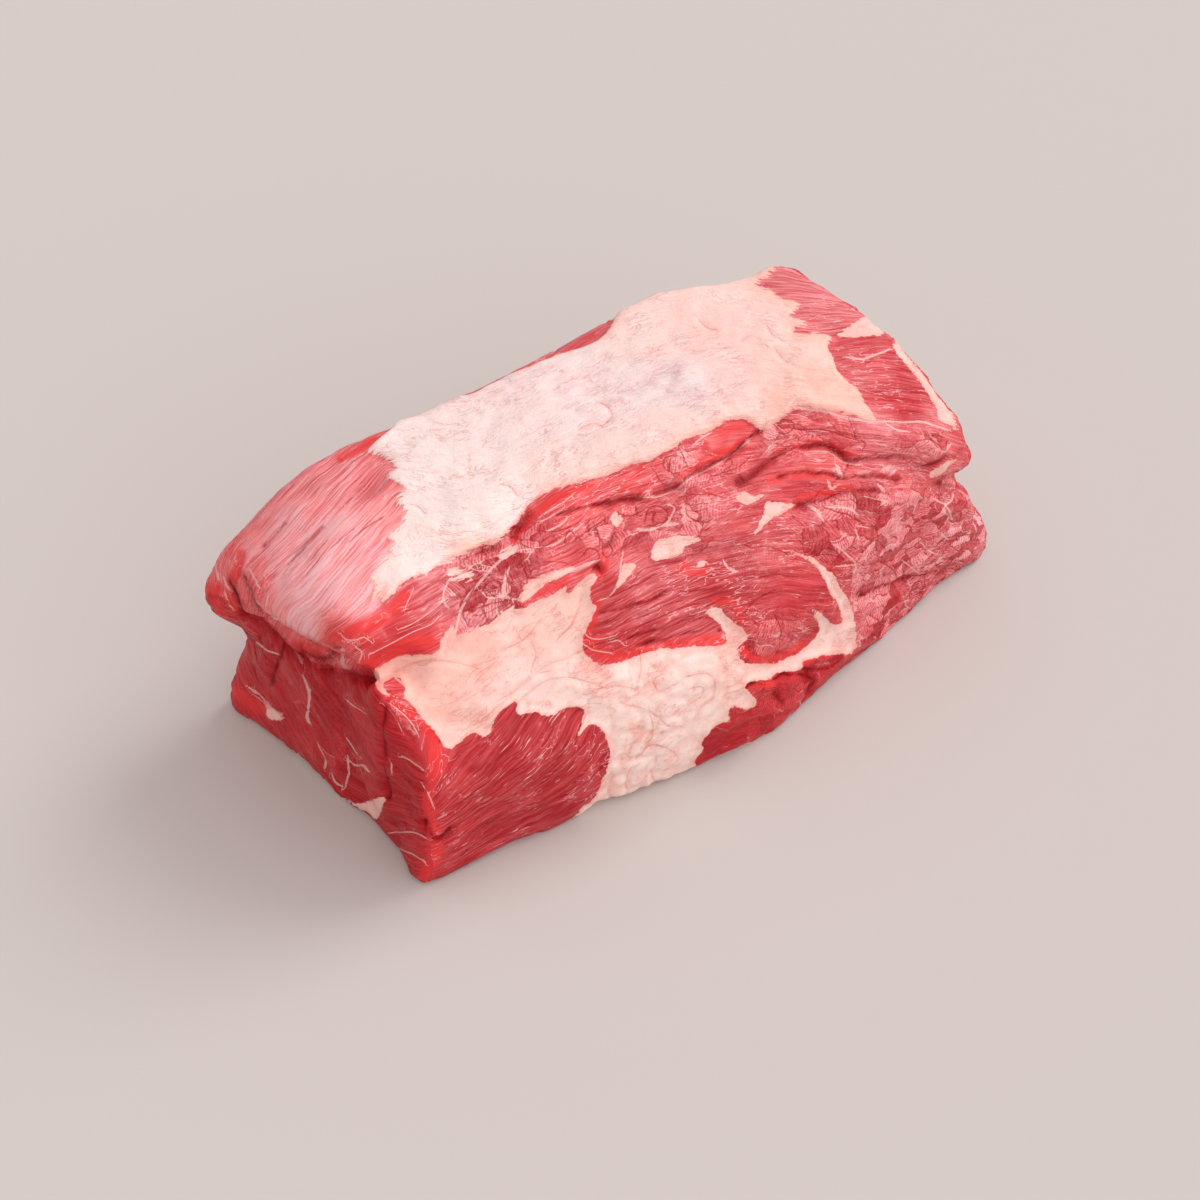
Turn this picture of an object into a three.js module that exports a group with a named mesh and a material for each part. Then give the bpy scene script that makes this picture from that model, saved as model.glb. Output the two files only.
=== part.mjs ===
// A raw brisket point: the thick end of a beef brisket, trimmed to a long block with a fat cap.
// One piece of meat, so one solid. Millimetres, +Z up, resting on its flat underside.
// While it is shaped, X runs along the block from the left cut end, Y from the front to the back and
// Z up from the table, with the origin at the front corner of the left end.
import * as THREE from "three";
import { ImprovedNoise } from "three/addons/math/ImprovedNoise.js";
import { mergeVertices } from "three/addons/utils/BufferGeometryUtils.js";

const at = (x, y, z) => new THREE.Vector3(x, y, z);

// Driving dimensions of the trimmed block.
const LENGTH = 228; // front corner of the left end to the top of the right end
const WIDTH = 119; // front to back, where it is widest
const HEIGHT = 100; // table to the top of the fat cap
const SHOULDER = 40; // front of the foot to the front edge of the cap
const EDGE_SOFTNESS = 3.2; // how widely two cut faces round into each other
const CELL = 5.8; // spacing of the surface grid

// The knife cuts that bound the block. Each passes through a point and faces along a direction.
const cut = (through, facing) => ({ through, facing: facing.normalize() });
const CUTS = [
  cut(at(120, 90, HEIGHT - 0.5), at(0, 0.035, 1)), // fat cap
  cut(at(8, 80, HEIGHT - 5), at(-0.5, 0.08, 0.87)), // cap, falling to the left end
  cut(at(100, SHOULDER, HEIGHT - 6), at(0, -0.5, 0.87)), // shoulder under the cap
  cut(at(100, 10, 62), at(0, -0.8, 0.6)), // slope of the front
  cut(at(60, -3.5, 0), at(-0.015, -1, -0.03)), // foot of the front
  cut(at(190, 10.5, 0), at(0.3, -1, 0.03)), // front, turning in at the right
  cut(at(LENGTH + 6, 48, 86), at(0.42, -0.46, 0.78)), // right shoulder
  cut(at(60, WIDTH - 4.5, 50), at(-0.06, 1, 0.02)), // back
  cut(at(200, WIDTH, 50), at(0.14, 1, 0.02)), // back, turning in at the right
  cut(at(-7.5, 56, 0), at(-1, -0.19, 0)), // left end
  cut(at(LENGTH - 0.5, 76, 97), at(0.955, 0.22, 0.2)), // right end
  cut(at(120, 60, -1.5), at(0, 0, -1)), // underside, sagged onto the table
];

// Signed distance from the smooth block, negative inside: a soft maximum over the cuts.
function block(p) {
  let sum = 0;
  for (const { through, facing } of CUTS) {
    const outside = facing.dot(p) - facing.dot(through);
    sum += Math.exp(outside / EDGE_SOFTNESS);
  }
  return EDGE_SOFTNESS * Math.log(sum);
}

// Seams between muscles and folds in the lean are grooves, and the rolled rims beside them are ridges.
// Each has a half width and a height, and follows a smooth curve through a few places on the surface.
const STEP = 2.5; // how finely such a curve is followed

function ridge(half, height, ...places) {
  const curve = new THREE.CatmullRomCurve3(places.map((place) => at(...place)));
  return { half, height, points: curve.getSpacedPoints(Math.ceil(curve.getLength() / STEP)) };
}
const groove = (half, depth, ...places) => ridge(half, -depth, ...places);

const STROKES = [
  // left end: the upper muscle overhangs the lower one in a rolled rim, and a fold splits it
  groove(5.5, 9, [-15, 109, 33], [-15, 96, 42], [-11, 80, 59], [-7, 57, 64], [-3, 43, 69], [12, 24, 76]),
  ridge(8, 3.5, [-20, 104, 60], [-16, 88, 72], [-8, 62, 79], [2, 36, 86]),
  groove(4.5, 2.5, [-9, 76, 86], [6, 82, 93], [22, 84, 99], [36, 87, 100]),
  // left end: the lower muscle is set back behind its front corner, and creased
  groove(5, 5, [-5, 47, 62], [-5, 42, 40], [-4, 36, 12]),
  ridge(5, 2.5, [2, 22, 69], [0, 21, 48], [-1, 24, 21]),
  groove(4.5, 2.5, [-11, 75, 57], [-12, 77, 34]),
  ridge(5, 2.5, [0, 0, 0], [4, -1, 28], [8, 4, 56], [14, 8, 62]),
  // front: the seam under the cap and the long folds of the upper muscle
  groove(5.5, 4.5, [38, 45, 94], [57, 46, 92], [67, 49, 94], [76, 52, 97]),
  groove(5.5, 3.5, [78, 37, 89], [110, 42, 90], [132, 43, 92], [166, 47, 94]),
  groove(5.5, 4, [141, 36, 87], [165, 38, 89], [187, 30, 82], [210, 24, 71], [237, 30, 46]),
  groove(5.5, 2.5, [166, 24, 78], [178, 21, 74], [185, 15, 70]),
  groove(5, 2.5, [177, 8, 38], [195, 14, 27], [214, 19, 17]),
  // front: hollows round the middle tongue of lean and round the lower left muscle
  groove(5.5, 3, [80, 18, 77], [72, 13, 65], [81, 7, 58], [117, 5, 57], [139, -2, 33], [160, 3, 29]),
  groove(5.5, 2, [14, 9, 60], [32, 5, 55], [59, 3, 51], [70, -4, 37], [65, -4, 9]),
  // top: the cap ends at the right in bundles of lean, with hollows between them
  groove(5, 2, [197, 78, 99], [212, 69, 99], [229, 66, 97]),
  groove(5, 1.5, [202, 56, 99], [217, 53, 97], [232, 53, 91]),
  groove(5, 2.5, [196, 43, 94], [211, 40, 91], [230, 40, 83]),
  // right end: the notch between the upper and the lower muscle runs on round the corner, under a rim
  groove(5, 6, [237, 30, 46], [246, 36, 41], [243, 75, 45], [236, 100, 50], [222, 119, 55]),
  ridge(8, 2, [240, 36, 77], [232, 62, 93], [223, 92, 98]),
  // back: the same seam wanders on to the left end, with a fold above it and one below
  groove(5.5, 3.5, [222, 119, 55], [180, 122, 58], [140, 121, 50], [95, 118, 56], [40, 115, 42],
    [-15, 109, 33]),
  groove(5, 2, [206, 118, 78], [160, 122, 74], [120, 120, 81]),
  groove(5, 2, [92, 119, 26], [50, 115, 22], [14, 112, 28]),
];

function strokes(p) {
  let total = 0;
  for (const { half, height, points } of STROKES) {
    const nearest = Math.min(...points.map((point) => p.distanceToSquared(point)));
    total += height * Math.exp(-nearest / half ** 2);
  }
  return total;
}

// Broad swellings: corners pulled out by the knife, muscles that bulge, a thicker part of the cap.
const swelling = (centre, spread, height) => ({ centre, spread, height });
const SWELLINGS = [
  swelling(at(-4, 6, 0), 11, 3), // front corner of the left end
  swelling(at(-18, 103, 4), 8, 3), // back corner of the left end
  swelling(at(-18, 101, 24), 13, -3.5), // hollow above it
  swelling(at(-19, 104, 55), 13, 4), // end of the upper muscle
  swelling(at(257, 40, 8), 14, 7), // tip at the right
  swelling(at(219, 112, 94), 12, 4), // top corner at the right
  swelling(at(166, 119, 98), 18, 4.5), // thick part of the cap
  swelling(at(100, 16, 68), 24, 3), // middle tongue of lean
  swelling(at(150, 8, 55), 22, 2.5), // lean beside it
  swelling(at(100, -4, 22), 30, 3), // fat bulging over the foot
  swelling(at(140, -5, 4), 24, 3), // foot, turning in at the right
  swelling(at(110, 122, 50), 40, 3), // back
];

function swellings(p) {
  let total = 0;
  for (const { centre, spread, height } of SWELLINGS) {
    total += height * Math.exp(-p.distanceToSquared(centre) / spread ** 2);
  }
  return total;
}

// Unevenness of raw meat: broad lumps, and finer bundles drawn out along the grain.
const noise = new ImprovedNoise();
const LUMP = { size: 34, height: 2 };
const BUNDLE = { length: 42, width: 10, height: 0.9 };
const BUNDLE_SHIFT = 7; // takes the bundles' noise from another place than the lumps'

function unevenness(p) {
  const lump = noise.noise(p.x / LUMP.size, p.y / LUMP.size, p.z / LUMP.size);
  const bundle = noise.noise(p.x / BUNDLE.length + BUNDLE_SHIFT, p.y / BUNDLE.width, p.z / BUNDLE.width);
  return LUMP.height * lump + BUNDLE.height * bundle;
}

const surface = (p) => block(p) - strokes(p) - swellings(p) - unevenness(p);

// The grid: a box round the block. Each of its points moves in towards a core until it meets the surface.
const OUTER = new THREE.Box3(at(-28, -14, -6), at(LENGTH + 38, WIDTH + 10, HEIGHT + 8));
const CORE = new THREE.Box3(at(45, 50, 38), at(190, 72, 50));
const STRIDE = 2; // first step of the search inwards
const HALVINGS = 14; // then it is narrowed down

function settle(start) {
  const inner = CORE.clampPoint(start, at(0, 0, 0));
  const reach = start.distanceTo(inner);
  const p = at(0, 0, 0);
  const isInside = (t) => surface(p.lerpVectors(start, inner, t)) < 0;
  let inside = STRIDE / reach;
  while (!isInside(inside)) inside += STRIDE / reach;
  let outside = inside - STRIDE / reach;
  for (let i = 0; i < HALVINGS; i++) {
    const middle = (outside + inside) / 2;
    if (isInside(middle)) inside = middle;
    else outside = middle;
  }
  p.z = Math.max(p.z, 0); // flat on the table
  return p;
}

// Each cell of the grid is two triangles: they meet along the diagonal that lies closer to the surface.
function turnDiagonals(geometry) {
  const position = geometry.getAttribute("position");
  const index = geometry.getIndex();
  const offSurface = (i, j) => {
    const start = at(0, 0, 0).fromBufferAttribute(position, i);
    const end = at(0, 0, 0).fromBufferAttribute(position, j);
    return Math.abs(surface(start.lerp(end, 0.5)));
  };
  for (let k = 0; k < index.count; k += 6) {
    const [a, b, d, , c] = [0, 1, 2, 3, 4].map((n) => index.getX(k + n));
    if (offSurface(a, c) < offSurface(b, d)) {
      [a, b, c, a, c, d].forEach((corner, n) => index.setX(k + n, corner));
    }
  }
}

function brisketGeometry() {
  const size = OUTER.getSize(at(0, 0, 0));
  const middle = OUTER.getCenter(at(0, 0, 0));
  const grid = new THREE.BoxGeometry(...size, ...size.toArray().map((side) => Math.round(side / CELL)));
  grid.deleteAttribute("normal");
  grid.deleteAttribute("uv");
  grid.translate(...middle);
  const geometry = mergeVertices(grid, 1e-3);
  const position = geometry.getAttribute("position");
  for (let i = 0; i < position.count; i++) {
    position.setXYZ(i, ...settle(at(0, 0, 0).fromBufferAttribute(position, i)));
  }
  turnDiagonals(geometry);
  geometry.computeBoundingBox();
  const { min, max } = geometry.boundingBox;
  geometry.translate(-(min.x + max.x) / 2, -(min.y + max.y) / 2, -min.z); // origin under the middle
  geometry.computeVertexNormals();
  return geometry;
}

const part = new THREE.Group();
const brisket = new THREE.Mesh(
  brisketGeometry(),
  new THREE.MeshStandardMaterial({ color: 0xb03a40, roughness: 0.45, metalness: 0 }),
);
brisket.name = "brisket_point";
part.add(brisket);

export default part;
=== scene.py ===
import math

import bmesh
import bpy
import numpy as np
from mathutils import Matrix, Vector, noise


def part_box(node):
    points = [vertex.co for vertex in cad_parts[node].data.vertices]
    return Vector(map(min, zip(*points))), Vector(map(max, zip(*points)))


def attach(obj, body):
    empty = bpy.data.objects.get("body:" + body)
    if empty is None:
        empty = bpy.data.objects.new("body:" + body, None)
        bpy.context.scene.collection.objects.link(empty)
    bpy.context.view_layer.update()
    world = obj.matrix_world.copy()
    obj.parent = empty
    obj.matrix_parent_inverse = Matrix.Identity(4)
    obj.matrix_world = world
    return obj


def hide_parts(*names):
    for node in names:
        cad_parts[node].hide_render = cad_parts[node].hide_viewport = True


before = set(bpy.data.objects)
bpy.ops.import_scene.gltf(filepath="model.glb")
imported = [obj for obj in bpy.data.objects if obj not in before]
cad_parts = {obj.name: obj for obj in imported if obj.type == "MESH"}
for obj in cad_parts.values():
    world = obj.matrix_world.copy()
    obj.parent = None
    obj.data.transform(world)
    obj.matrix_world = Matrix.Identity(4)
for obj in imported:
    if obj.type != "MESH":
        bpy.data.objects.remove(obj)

# ------------------------------------------------------------------------------------------- the view
# The block of meat is seen from its front left, 45 degrees down, through a long lens. Outlines and seams on
# it are given further on by the pixels where a picture 1200 pixels wide shows them, so the view comes first.
FRAME_PIXELS = 1200
MIDDLE = FRAME_PIXELS / 2
LENS = 85
SENSOR = 36
SIGHT = (0.05, 20)  # nearest and farthest that the camera sees, in metres
DISTANCE = 950  # from the lens to the foot of the front left corner, in millimetres
AZIMUTH = math.radians(-31.3)
ELEVATION = math.radians(45)
CORNER_IN_BOX = np.array((22.6, 7.8, 0))  # that corner, from the low corner of its box
CORNER_PIXEL = (420, 885)
MILLIMETRE = 0.001

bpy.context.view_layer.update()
corner = np.array(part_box("brisket_point")[0]) / MILLIMETRE + CORNER_IN_BOX
back = np.array((
    math.sin(AZIMUTH) * math.cos(ELEVATION),
    -math.cos(AZIMUTH) * math.cos(ELEVATION),
    math.sin(ELEVATION),
))
right = np.array((math.cos(AZIMUTH), math.sin(AZIMUTH), 0))
up = np.cross(back, right)
focal = LENS / SENSOR * FRAME_PIXELS
aside = (CORNER_PIXEL[0] - MIDDLE) / focal
above = (MIDDLE - CORNER_PIXEL[1]) / focal
lens_place = corner + DISTANCE * (back - aside * right - above * up)


def add(name, data):
    """Puts a new object into the scene."""
    thing = bpy.data.objects.new(name, data)
    bpy.context.scene.collection.objects.link(thing)
    return thing


camera = add("camera", bpy.data.cameras.new("camera"))
camera.data.lens = LENS
camera.data.sensor_width = SENSOR
camera.data.clip_start, camera.data.clip_end = SIGHT
camera.matrix_world = Matrix.Translation(lens_place * MILLIMETRE) @ Matrix(
    np.stack((right, up, back), axis=1).tolist()
).to_4x4()
bpy.context.scene.camera = camera


def pixels_of(places):
    """Where the picture shows places on the meat."""
    offset = places - lens_place
    depth = offset @ -back
    x = MIDDLE + focal * (offset @ right) / depth
    y = MIDDLE - focal * (offset @ up) / depth
    return np.stack((x, y), axis=1)


# --------------------------------------------------------------------------------------- the block of meat
# The thick end of a beef brisket, one piece of raw muscle and fat cut to a block. Its modelled solid is
# rounded off and given an even skin of small faces, fine enough for the edge of the fat and the folds.
SAME_CORNER = 1e-6  # corners of faces this near each other are one
ROUNDINGS = 2
SKIN_FACE = 1.2  # size of the skin's faces
EASINGS = 4
EDGE_ON = 0.02  # a spot turned this little to the lens is hardly seen
FACE_ON = 0.2  # and is fully seen from here on

shell = bmesh.new()
shell.from_mesh(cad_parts["brisket_point"].data)
bmesh.ops.remove_doubles(shell, verts=shell.verts, dist=SAME_CORNER)
bmesh.ops.join_triangles(
    shell, faces=shell.faces, angle_face_threshold=math.pi, angle_shape_threshold=math.pi
)
block = add("block", bpy.data.meshes.new("block"))
shell.to_mesh(block.data)
shell.free()
rounding = block.modifiers.new("rounding", "SUBSURF")
rounding.levels = ROUNDINGS
skin = block.modifiers.new("skin", "REMESH")
skin.mode = "VOXEL"
skin.voxel_size = SKIN_FACE * MILLIMETRE
easing = block.modifiers.new("easing", "SMOOTH")
easing.iterations = EASINGS
meat = bpy.data.meshes.new_from_object(block.evaluated_get(bpy.context.evaluated_depsgraph_get()))
bpy.data.objects.remove(block)


def rows_of(items, name, width, kind=np.float32):
    """One property of every item of the mesh, a row each."""
    flat = np.empty(len(items) * width, kind)
    items.foreach_get(name, flat)
    return flat.reshape(-1, width)


def fade(value, low, high):
    """Rises smoothly from 0 at low to 1 at high."""
    share = np.clip((value - low) / (high - low), 0, 1)
    return share * share * (3 - 2 * share)


count = len(meat.vertices)
places = rows_of(meat.vertices, "co", 3).astype(float) / MILLIMETRE
normals = rows_of(meat.vertex_normals, "vector", 3).astype(float)
edges = rows_of(meat.edges, "vertices", 2, np.int32)
pixels = pixels_of(places)
stand = places - corner  # measured from the foot of the front left corner
to_lens = lens_place - places
to_lens /= np.linalg.norm(to_lens, axis=1, keepdims=True)
facing = np.sum(normals * to_lens, axis=1)
seen = fade(facing, EDGE_ON, FACE_ON)
PIXEL = DISTANCE / focal  # what one pixel of the picture covers on the meat

# ------------------------------------------------------------------------------------------------ the fat
# A cap of firm creamy fat covers most of the top, trimmed so that it ends in a thick edge. Softer fat fills
# the front between the muscles. The outlines are drawn on the picture, those of hidden sides in millimetres.
CAP = (
    (348, 464), (362, 455), (376, 453), (383, 457), (392, 463), (393, 469), (386, 476), (396, 481),
    (402, 488), (400, 494), (396, 501), (404, 507), (405, 514), (402, 521), (392, 532), (388, 551),
    (379, 563), (371, 577), (374, 588), (367, 602), (379, 593), (385, 585), (381, 602), (393, 596),
    (404, 582), (424, 574), (441, 565), (461, 556), (483, 547), (497, 542), (511, 529), (522, 515),
    (534, 501), (553, 490), (573, 484), (587, 481), (603, 477), (615, 472), (632, 465), (652, 460),
    (675, 447), (689, 438), (709, 432), (726, 422), (744, 419), (761, 431), (775, 424), (790, 411),
    (798, 406), (818, 409), (835, 412), (853, 417), (873, 421), (876, 416), (864, 401), (858, 389),
    (847, 381), (837, 369), (834, 358), (828, 346), (833, 338), (824, 333), (792, 333), (807, 322),
    (790, 316), (800, 306), (794, 299), (781, 297), (772, 290), (758, 284), (768, 276), (780, 262),
    (772, 250), (655, 275), (625, 300), (604, 335), (573, 349), (539, 361), (507, 375), (483, 388),
    (463, 395), (440, 390), (395, 415), (395, 424), (380, 438), (365, 451),
)
FRONT_FAT = (
    (371, 673), (385, 664), (403, 656), (424, 655), (438, 651), (441, 640), (448, 630), (454, 623),
    (457, 633), (469, 633), (479, 627), (494, 620), (503, 612), (512, 605), (522, 608), (544, 598),
    (561, 589), (567, 586), (569, 593), (582, 580), (591, 573), (598, 577), (591, 589), (592, 602),
    (597, 606), (593, 618), (587, 629), (582, 644), (587, 655), (599, 664), (601, 669), (604, 665),
    (620, 662), (637, 656), (655, 650), (666, 648), (698, 646), (726, 643), (722, 628), (714, 619),
    (705, 613), (710, 608), (721, 609), (729, 618), (744, 629), (748, 638), (739, 649), (747, 662),
    (772, 663), (787, 658), (799, 652), (811, 643), (820, 629), (814, 615), (810, 609), (821, 613),
    (833, 624), (841, 625), (843, 620), (838, 606), (831, 595), (825, 580), (818, 569), (807, 560),
    (790, 552), (812, 557), (825, 567), (838, 578), (845, 592), (854, 606), (857, 623), (857, 648),
    (847, 655), (827, 656), (804, 662), (803, 670), (778, 674), (772, 680), (758, 682), (748, 687),
    (757, 701), (757, 708), (744, 710), (732, 709), (729, 715), (732, 721), (721, 725), (709, 735),
    (703, 744), (704, 750), (696, 763), (690, 785), (580, 830), (582, 809), (594, 799), (604, 778),
    (610, 759), (607, 740), (599, 727), (588, 727), (578, 738), (583, 722), (584, 712), (579, 708),
    (564, 709), (554, 716), (542, 715), (536, 712), (520, 715), (517, 711), (516, 703), (506, 708),
    (495, 719), (491, 733), (484, 737), (476, 733), (467, 736), (456, 747), (448, 749), (442, 743),
    (435, 733), (425, 722), (415, 708), (406, 699), (385, 695), (375, 684),
)
SMALL_FATS = (
    ((655, 544), (666, 537), (695, 536), (701, 541), (686, 546), (683, 554), (666, 559), (652, 560)),
    ((744, 490), (751, 494), (765, 494), (758, 500), (748, 505), (738, 501), (736, 495)),
    ((767, 501), (787, 503), (798, 504), (784, 513), (772, 520), (761, 530), (752, 537), (764, 515)),
    ((623, 564), (636, 564), (632, 574), (617, 589), (612, 594), (619, 579)),
    ((838, 332), (847, 326), (861, 317), (870, 317), (884, 333), (858, 335), (840, 335)),
    ((893, 343), (902, 358), (916, 375), (922, 384), (930, 398), (937, 406), (939, 418), (953, 427),
     (966, 434), (980, 427), (950, 388), (915, 348)),
    ((963, 452), (953, 460), (940, 466), (929, 475), (936, 478), (946, 471), (957, 461)),
    ((520, 595), (531, 580), (570, 566), (573, 571), (547, 583), (536, 593), (523, 604)),
    ((318, 787), (340, 799), (356, 804), (379, 798), (384, 803), (372, 822), (345, 818), (320, 800)),
    ((265, 710), (272, 709), (281, 717), (279, 721), (268, 719)),
    ((448, 571), (458, 568), (474, 573), (470, 580), (452, 580)),
    ((497, 553), (505, 546), (518, 543), (515, 553), (503, 559)),
    ((609, 518), (616, 511), (623, 516), (617, 525)),
    ((697, 566), (700, 561), (707, 561), (704, 567)),
)
THIN = 0.7  # most that a small patch counts, so that the grain breaks it up
LEAN_IN_FAT = (
    ((384, 682), (398, 677), (405, 688), (400, 697), (388, 691)),
)
# thin pale veins, each with its half width in pixels
VEINS = (
    # band, left part
    (1.4, ((456, 632), (461, 612), (468, 597), (480, 582), (492, 568), (503, 557))),
    (1.2, ((450, 578), (446, 586), (443, 597), (447, 606))),
    (0.8, ((500, 556), (516, 551), (535, 548), (553, 545))),
    (2, ((508, 570), (505, 580), (504, 590), (507, 597))),
    (1.2, ((553, 545), (562, 540), (572, 532), (580, 526))),
    (0.9, ((483, 592), (490, 598), (505, 597), (520, 600))),
    (1.5, ((525, 600), (530, 590), (528, 582), (541, 580), (553, 577))),
    (0.7, ((467, 564), (476, 570), (489, 571))),
    (2.2, ((573, 570), (585, 565), (597, 560))),
    (0.6, ((478, 562), (485, 566), (494, 567))),
    (0.7, ((545, 512), (556, 506), (566, 500), (573, 494))),
    (0.7, ((540, 521), (552, 515), (562, 509))),
    (0.8, ((548, 531), (560, 525), (568, 518))),
    (0.6, ((400, 629), (412, 624), (426, 615), (438, 606), (446, 599))),
    (0.6, ((371, 655), (386, 646), (402, 638), (415, 631), (432, 624), (441, 615))),
    (0.6, ((405, 608), (409, 599), (413, 589))),
    # band, middle
    (0.9, ((640, 496), (655, 497), (668, 492), (682, 484), (700, 472), (716, 465), (730, 456), (746, 443))),
    (2, ((738, 448), (744, 443), (749, 439))),
    (1.2, ((695, 443), (703, 437), (709, 433))),
    (1.7, ((640, 529), (652, 529), (661, 525), (675, 524))),
    (0.8, ((600, 600), (609, 597), (616, 588), (620, 577), (621, 566), (624, 553))),
    (1.4, ((725, 563), (729, 568), (735, 570))),
    (1.2, ((645, 492), (649, 491))),
    (0.8, ((668, 503), (675, 506), (672, 515), (668, 524))),
    # band, right part
    (0.8, ((812, 451), (825, 451), (835, 455), (843, 461), (860, 464))),
    (1.4, ((793, 407), (820, 410), (836, 414), (852, 418), (870, 421))),
    (1, ((868, 420), (904, 421), (920, 421), (936, 425), (950, 430))),
    (1, ((890, 425), (898, 430), (907, 431))),
    (1.8, ((944, 451), (950, 446))),
    (2.7, ((885, 469), (890, 468))),
    (1.8, ((893, 473), (895, 471))),
    (1.4, ((860, 472), (868, 471))),
    (1.5, ((881, 486), (884, 490))),
    (2, ((838, 466), (841, 474))),
    (1.7, ((811, 505), (818, 510), (823, 518))),
    (1.2, ((829, 507), (841, 507), (850, 509), (858, 514))),
    (1.4, ((829, 483), (831, 489), (836, 486))),
    (0.7, ((866, 497), (880, 500), (888, 501), (881, 505))),
    (1.1, ((955, 493), (951, 501), (945, 504), (937, 500))),
    (0.9, ((945, 504), (950, 512), (955, 521))),
    (0.9, ((944, 536), (950, 540), (957, 538))),
    (0.8, ((924, 545), (928, 550), (933, 553))),
    (1, ((975, 525), (977, 530))),
    (0.7, ((860, 526), (869, 528))),
    (0.8, ((857, 530), (859, 540))),
    (0.9, ((838, 547), (846, 553), (857, 565), (855, 575))),
    (0.8, ((857, 565), (848, 566), (839, 567))),
    (0.6, ((905, 562), (912, 568), (919, 574))),
    (1.2, ((847, 357), (862, 358), (876, 354), (890, 349))),
    # tongue
    (0.7, ((584, 632), (590, 638), (601, 639), (614, 636))),
    (0.7, ((585, 645), (593, 650), (603, 652), (611, 653))),
    (0.7, ((612, 643), (619, 641), (625, 646))),
    # rolled rim and left end
    (1.2, ((213, 562), (216, 570), (217, 579))),
    (1.5, ((245, 580), (247, 590), (252, 598), (258, 604))),
    (0.9, ((222, 577), (226, 587), (231, 593))),
    (1, ((224, 594), (228, 604), (232, 610))),
    (1, ((250, 570), (254, 579), (258, 586))),
    (0.9, ((267, 595), (266, 605))),
    (0.8, ((256, 642), (266, 650), (277, 656))),
    (0.6, ((340, 633), (346, 639), (356, 640), (364, 637), (372, 642))),
    (0.8, ((284, 649), (291, 658), (297, 664))),
    (3, ((341, 653), (340, 662), (345, 670))),
    (0.9, ((355, 648), (362, 653), (360, 660))),
    (0.6, ((366, 598), (373, 589), (382, 581))),
    (1.5, ((303, 679), (308, 692), (308, 703), (306, 716), (309, 723))),
    (0.8, ((249, 687), (258, 696), (266, 703))),
    (2.7, ((266, 706), (272, 711), (279, 717))),
    (1.2, ((318, 745), (321, 754), (324, 760), (323, 769))),
    (1.1, ((347, 760), (348, 770), (347, 779), (343, 789))),
    (0.9, ((348, 762), (357, 766), (362, 765), (368, 773))),
    (0.6, ((346, 738), (351, 745), (357, 756))),
    (0.6, ((343, 698), (350, 705), (362, 714))),
    (0.6, ((330, 775), (334, 783), (340, 788))),
    (0.8, ((400, 758), (411, 763), (424, 771))),
    (0.7, ((390, 764), (392, 773))),
    (0.7, ((285, 757), (300, 770), (312, 781), (326, 791))),
    (0.6, ((382, 705), (391, 712), (398, 723), (402, 732))),
    (0.7, ((389, 703), (400, 711), (411, 722), (418, 734))),
    (0.9, ((422, 787), (430, 798), (434, 808))),
    (0.7, ((380, 835), (396, 833), (412, 833), (430, 841))),
    (0.7, ((398, 849), (413, 855), (425, 864))),
    (1, ((396, 678), (414, 692), (427, 712), (440, 735))),
)
# hidden sides: the back and the right end by how far along it and up, the underside from above
BACK_FATS = (
    ((30, 115), (36, 98), (48, 93), (66, 92), (80, 97), (100, 99), (125, 99), (142, 97), (152, 89),
     (166, 84), (182, 83), (196, 88), (204, 96), (212, 115)),
    ((96, 51), (120, 54), (140, 58), (162, 62), (190, 61), (216, 57), (200, 54), (176, 52), (150, 50),
     (128, 48)),
    ((-2, 24), (14, 29), (34, 27), (52, 30), (70, 25), (92, 24), (112, 18), (92, 15), (72, 10), (48, 14),
     (28, 8), (14, 12), (4, 17)),
    ((138, 26), (156, 31), (178, 29), (160, 24)),
)
BACK_VEINS = (
    (1.2, ((-15, 33), (15, 36), (40, 42), (70, 50), (95, 53))),
    (0.9, ((206, 59), (222, 55))),
    (0.7, ((120, 81), (140, 79), (160, 74), (183, 77), (206, 78))),
    (0.6, ((8, 62), (30, 66), (52, 72), (80, 71))),
    (0.6, ((20, 84), (36, 79), (50, 82))),
    (0.6, ((112, 24), (130, 27), (150, 33), (172, 38))),
    (0.5, ((66, 42), (84, 38), (106, 40))),
    (0.5, ((150, 12), (176, 15), (204, 12))),
    (0.5, ((208, 92), (218, 84), (226, 72))),
)
RIGHT_FATS = (
    ((35, 86), (48, 88), (60, 92), (76, 93), (80, 100), (50, 110), (30, 100)),
    ((34, 37), (46, 39), (60, 44), (80, 47), (98, 52), (114, 56), (112, 50), (95, 46), (78, 41), (60, 39)),
    ((60, 15), (70, 20), (82, 23), (92, 21), (84, 15), (74, 9)),
)
RIGHT_VEINS = (
    (0.7, ((45, 72), (60, 66), (78, 70), (96, 64))),
    (0.6, ((60, 66), (64, 78), (62, 90))),
    (0.6, ((40, 24), (55, 28), (64, 18))),
    (0.6, ((90, 44), (96, 32), (90, 21))),
    (0.5, ((96, 64), (104, 76), (110, 84))),
)
UNDER_FATS = (
    ((58, -20), (66, 4), (78, 16), (98, 20), (118, 15), (134, 4), (140, -20)),
    ((-12, 40), (-2, 46), (4, 58), (0, 70), (-14, 74), (-20, 60)),
    ((160, 70), (178, 78), (200, 76), (214, 66), (200, 60), (175, 62)),
)
UNDER_VEINS = (
    (0.7, ((0, 80), (30, 76), (60, 82), (90, 78))),
    (0.6, ((70, 50), (100, 54), (130, 48), (160, 54))),
    (0.6, ((150, 28), (180, 32), (205, 40))),
)
STRAY = (7, 4, 4)  # how far the outlines there wander along the block, across it and up
STRAY_WAVE = 16
STRAY_RIPPLE = 5
SIDE_SHARPNESS = 3  # how quickly one side's drawing gives way to the next round a corner
SEEN_WEIGHT = 4
SPARE_WEIGHT = 1e-4
NO_FAT = -60.0  # depth in fat, in millimetres, far from any
LEAN_DEPTH = -3.0  # and where no drawing reaches
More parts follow.
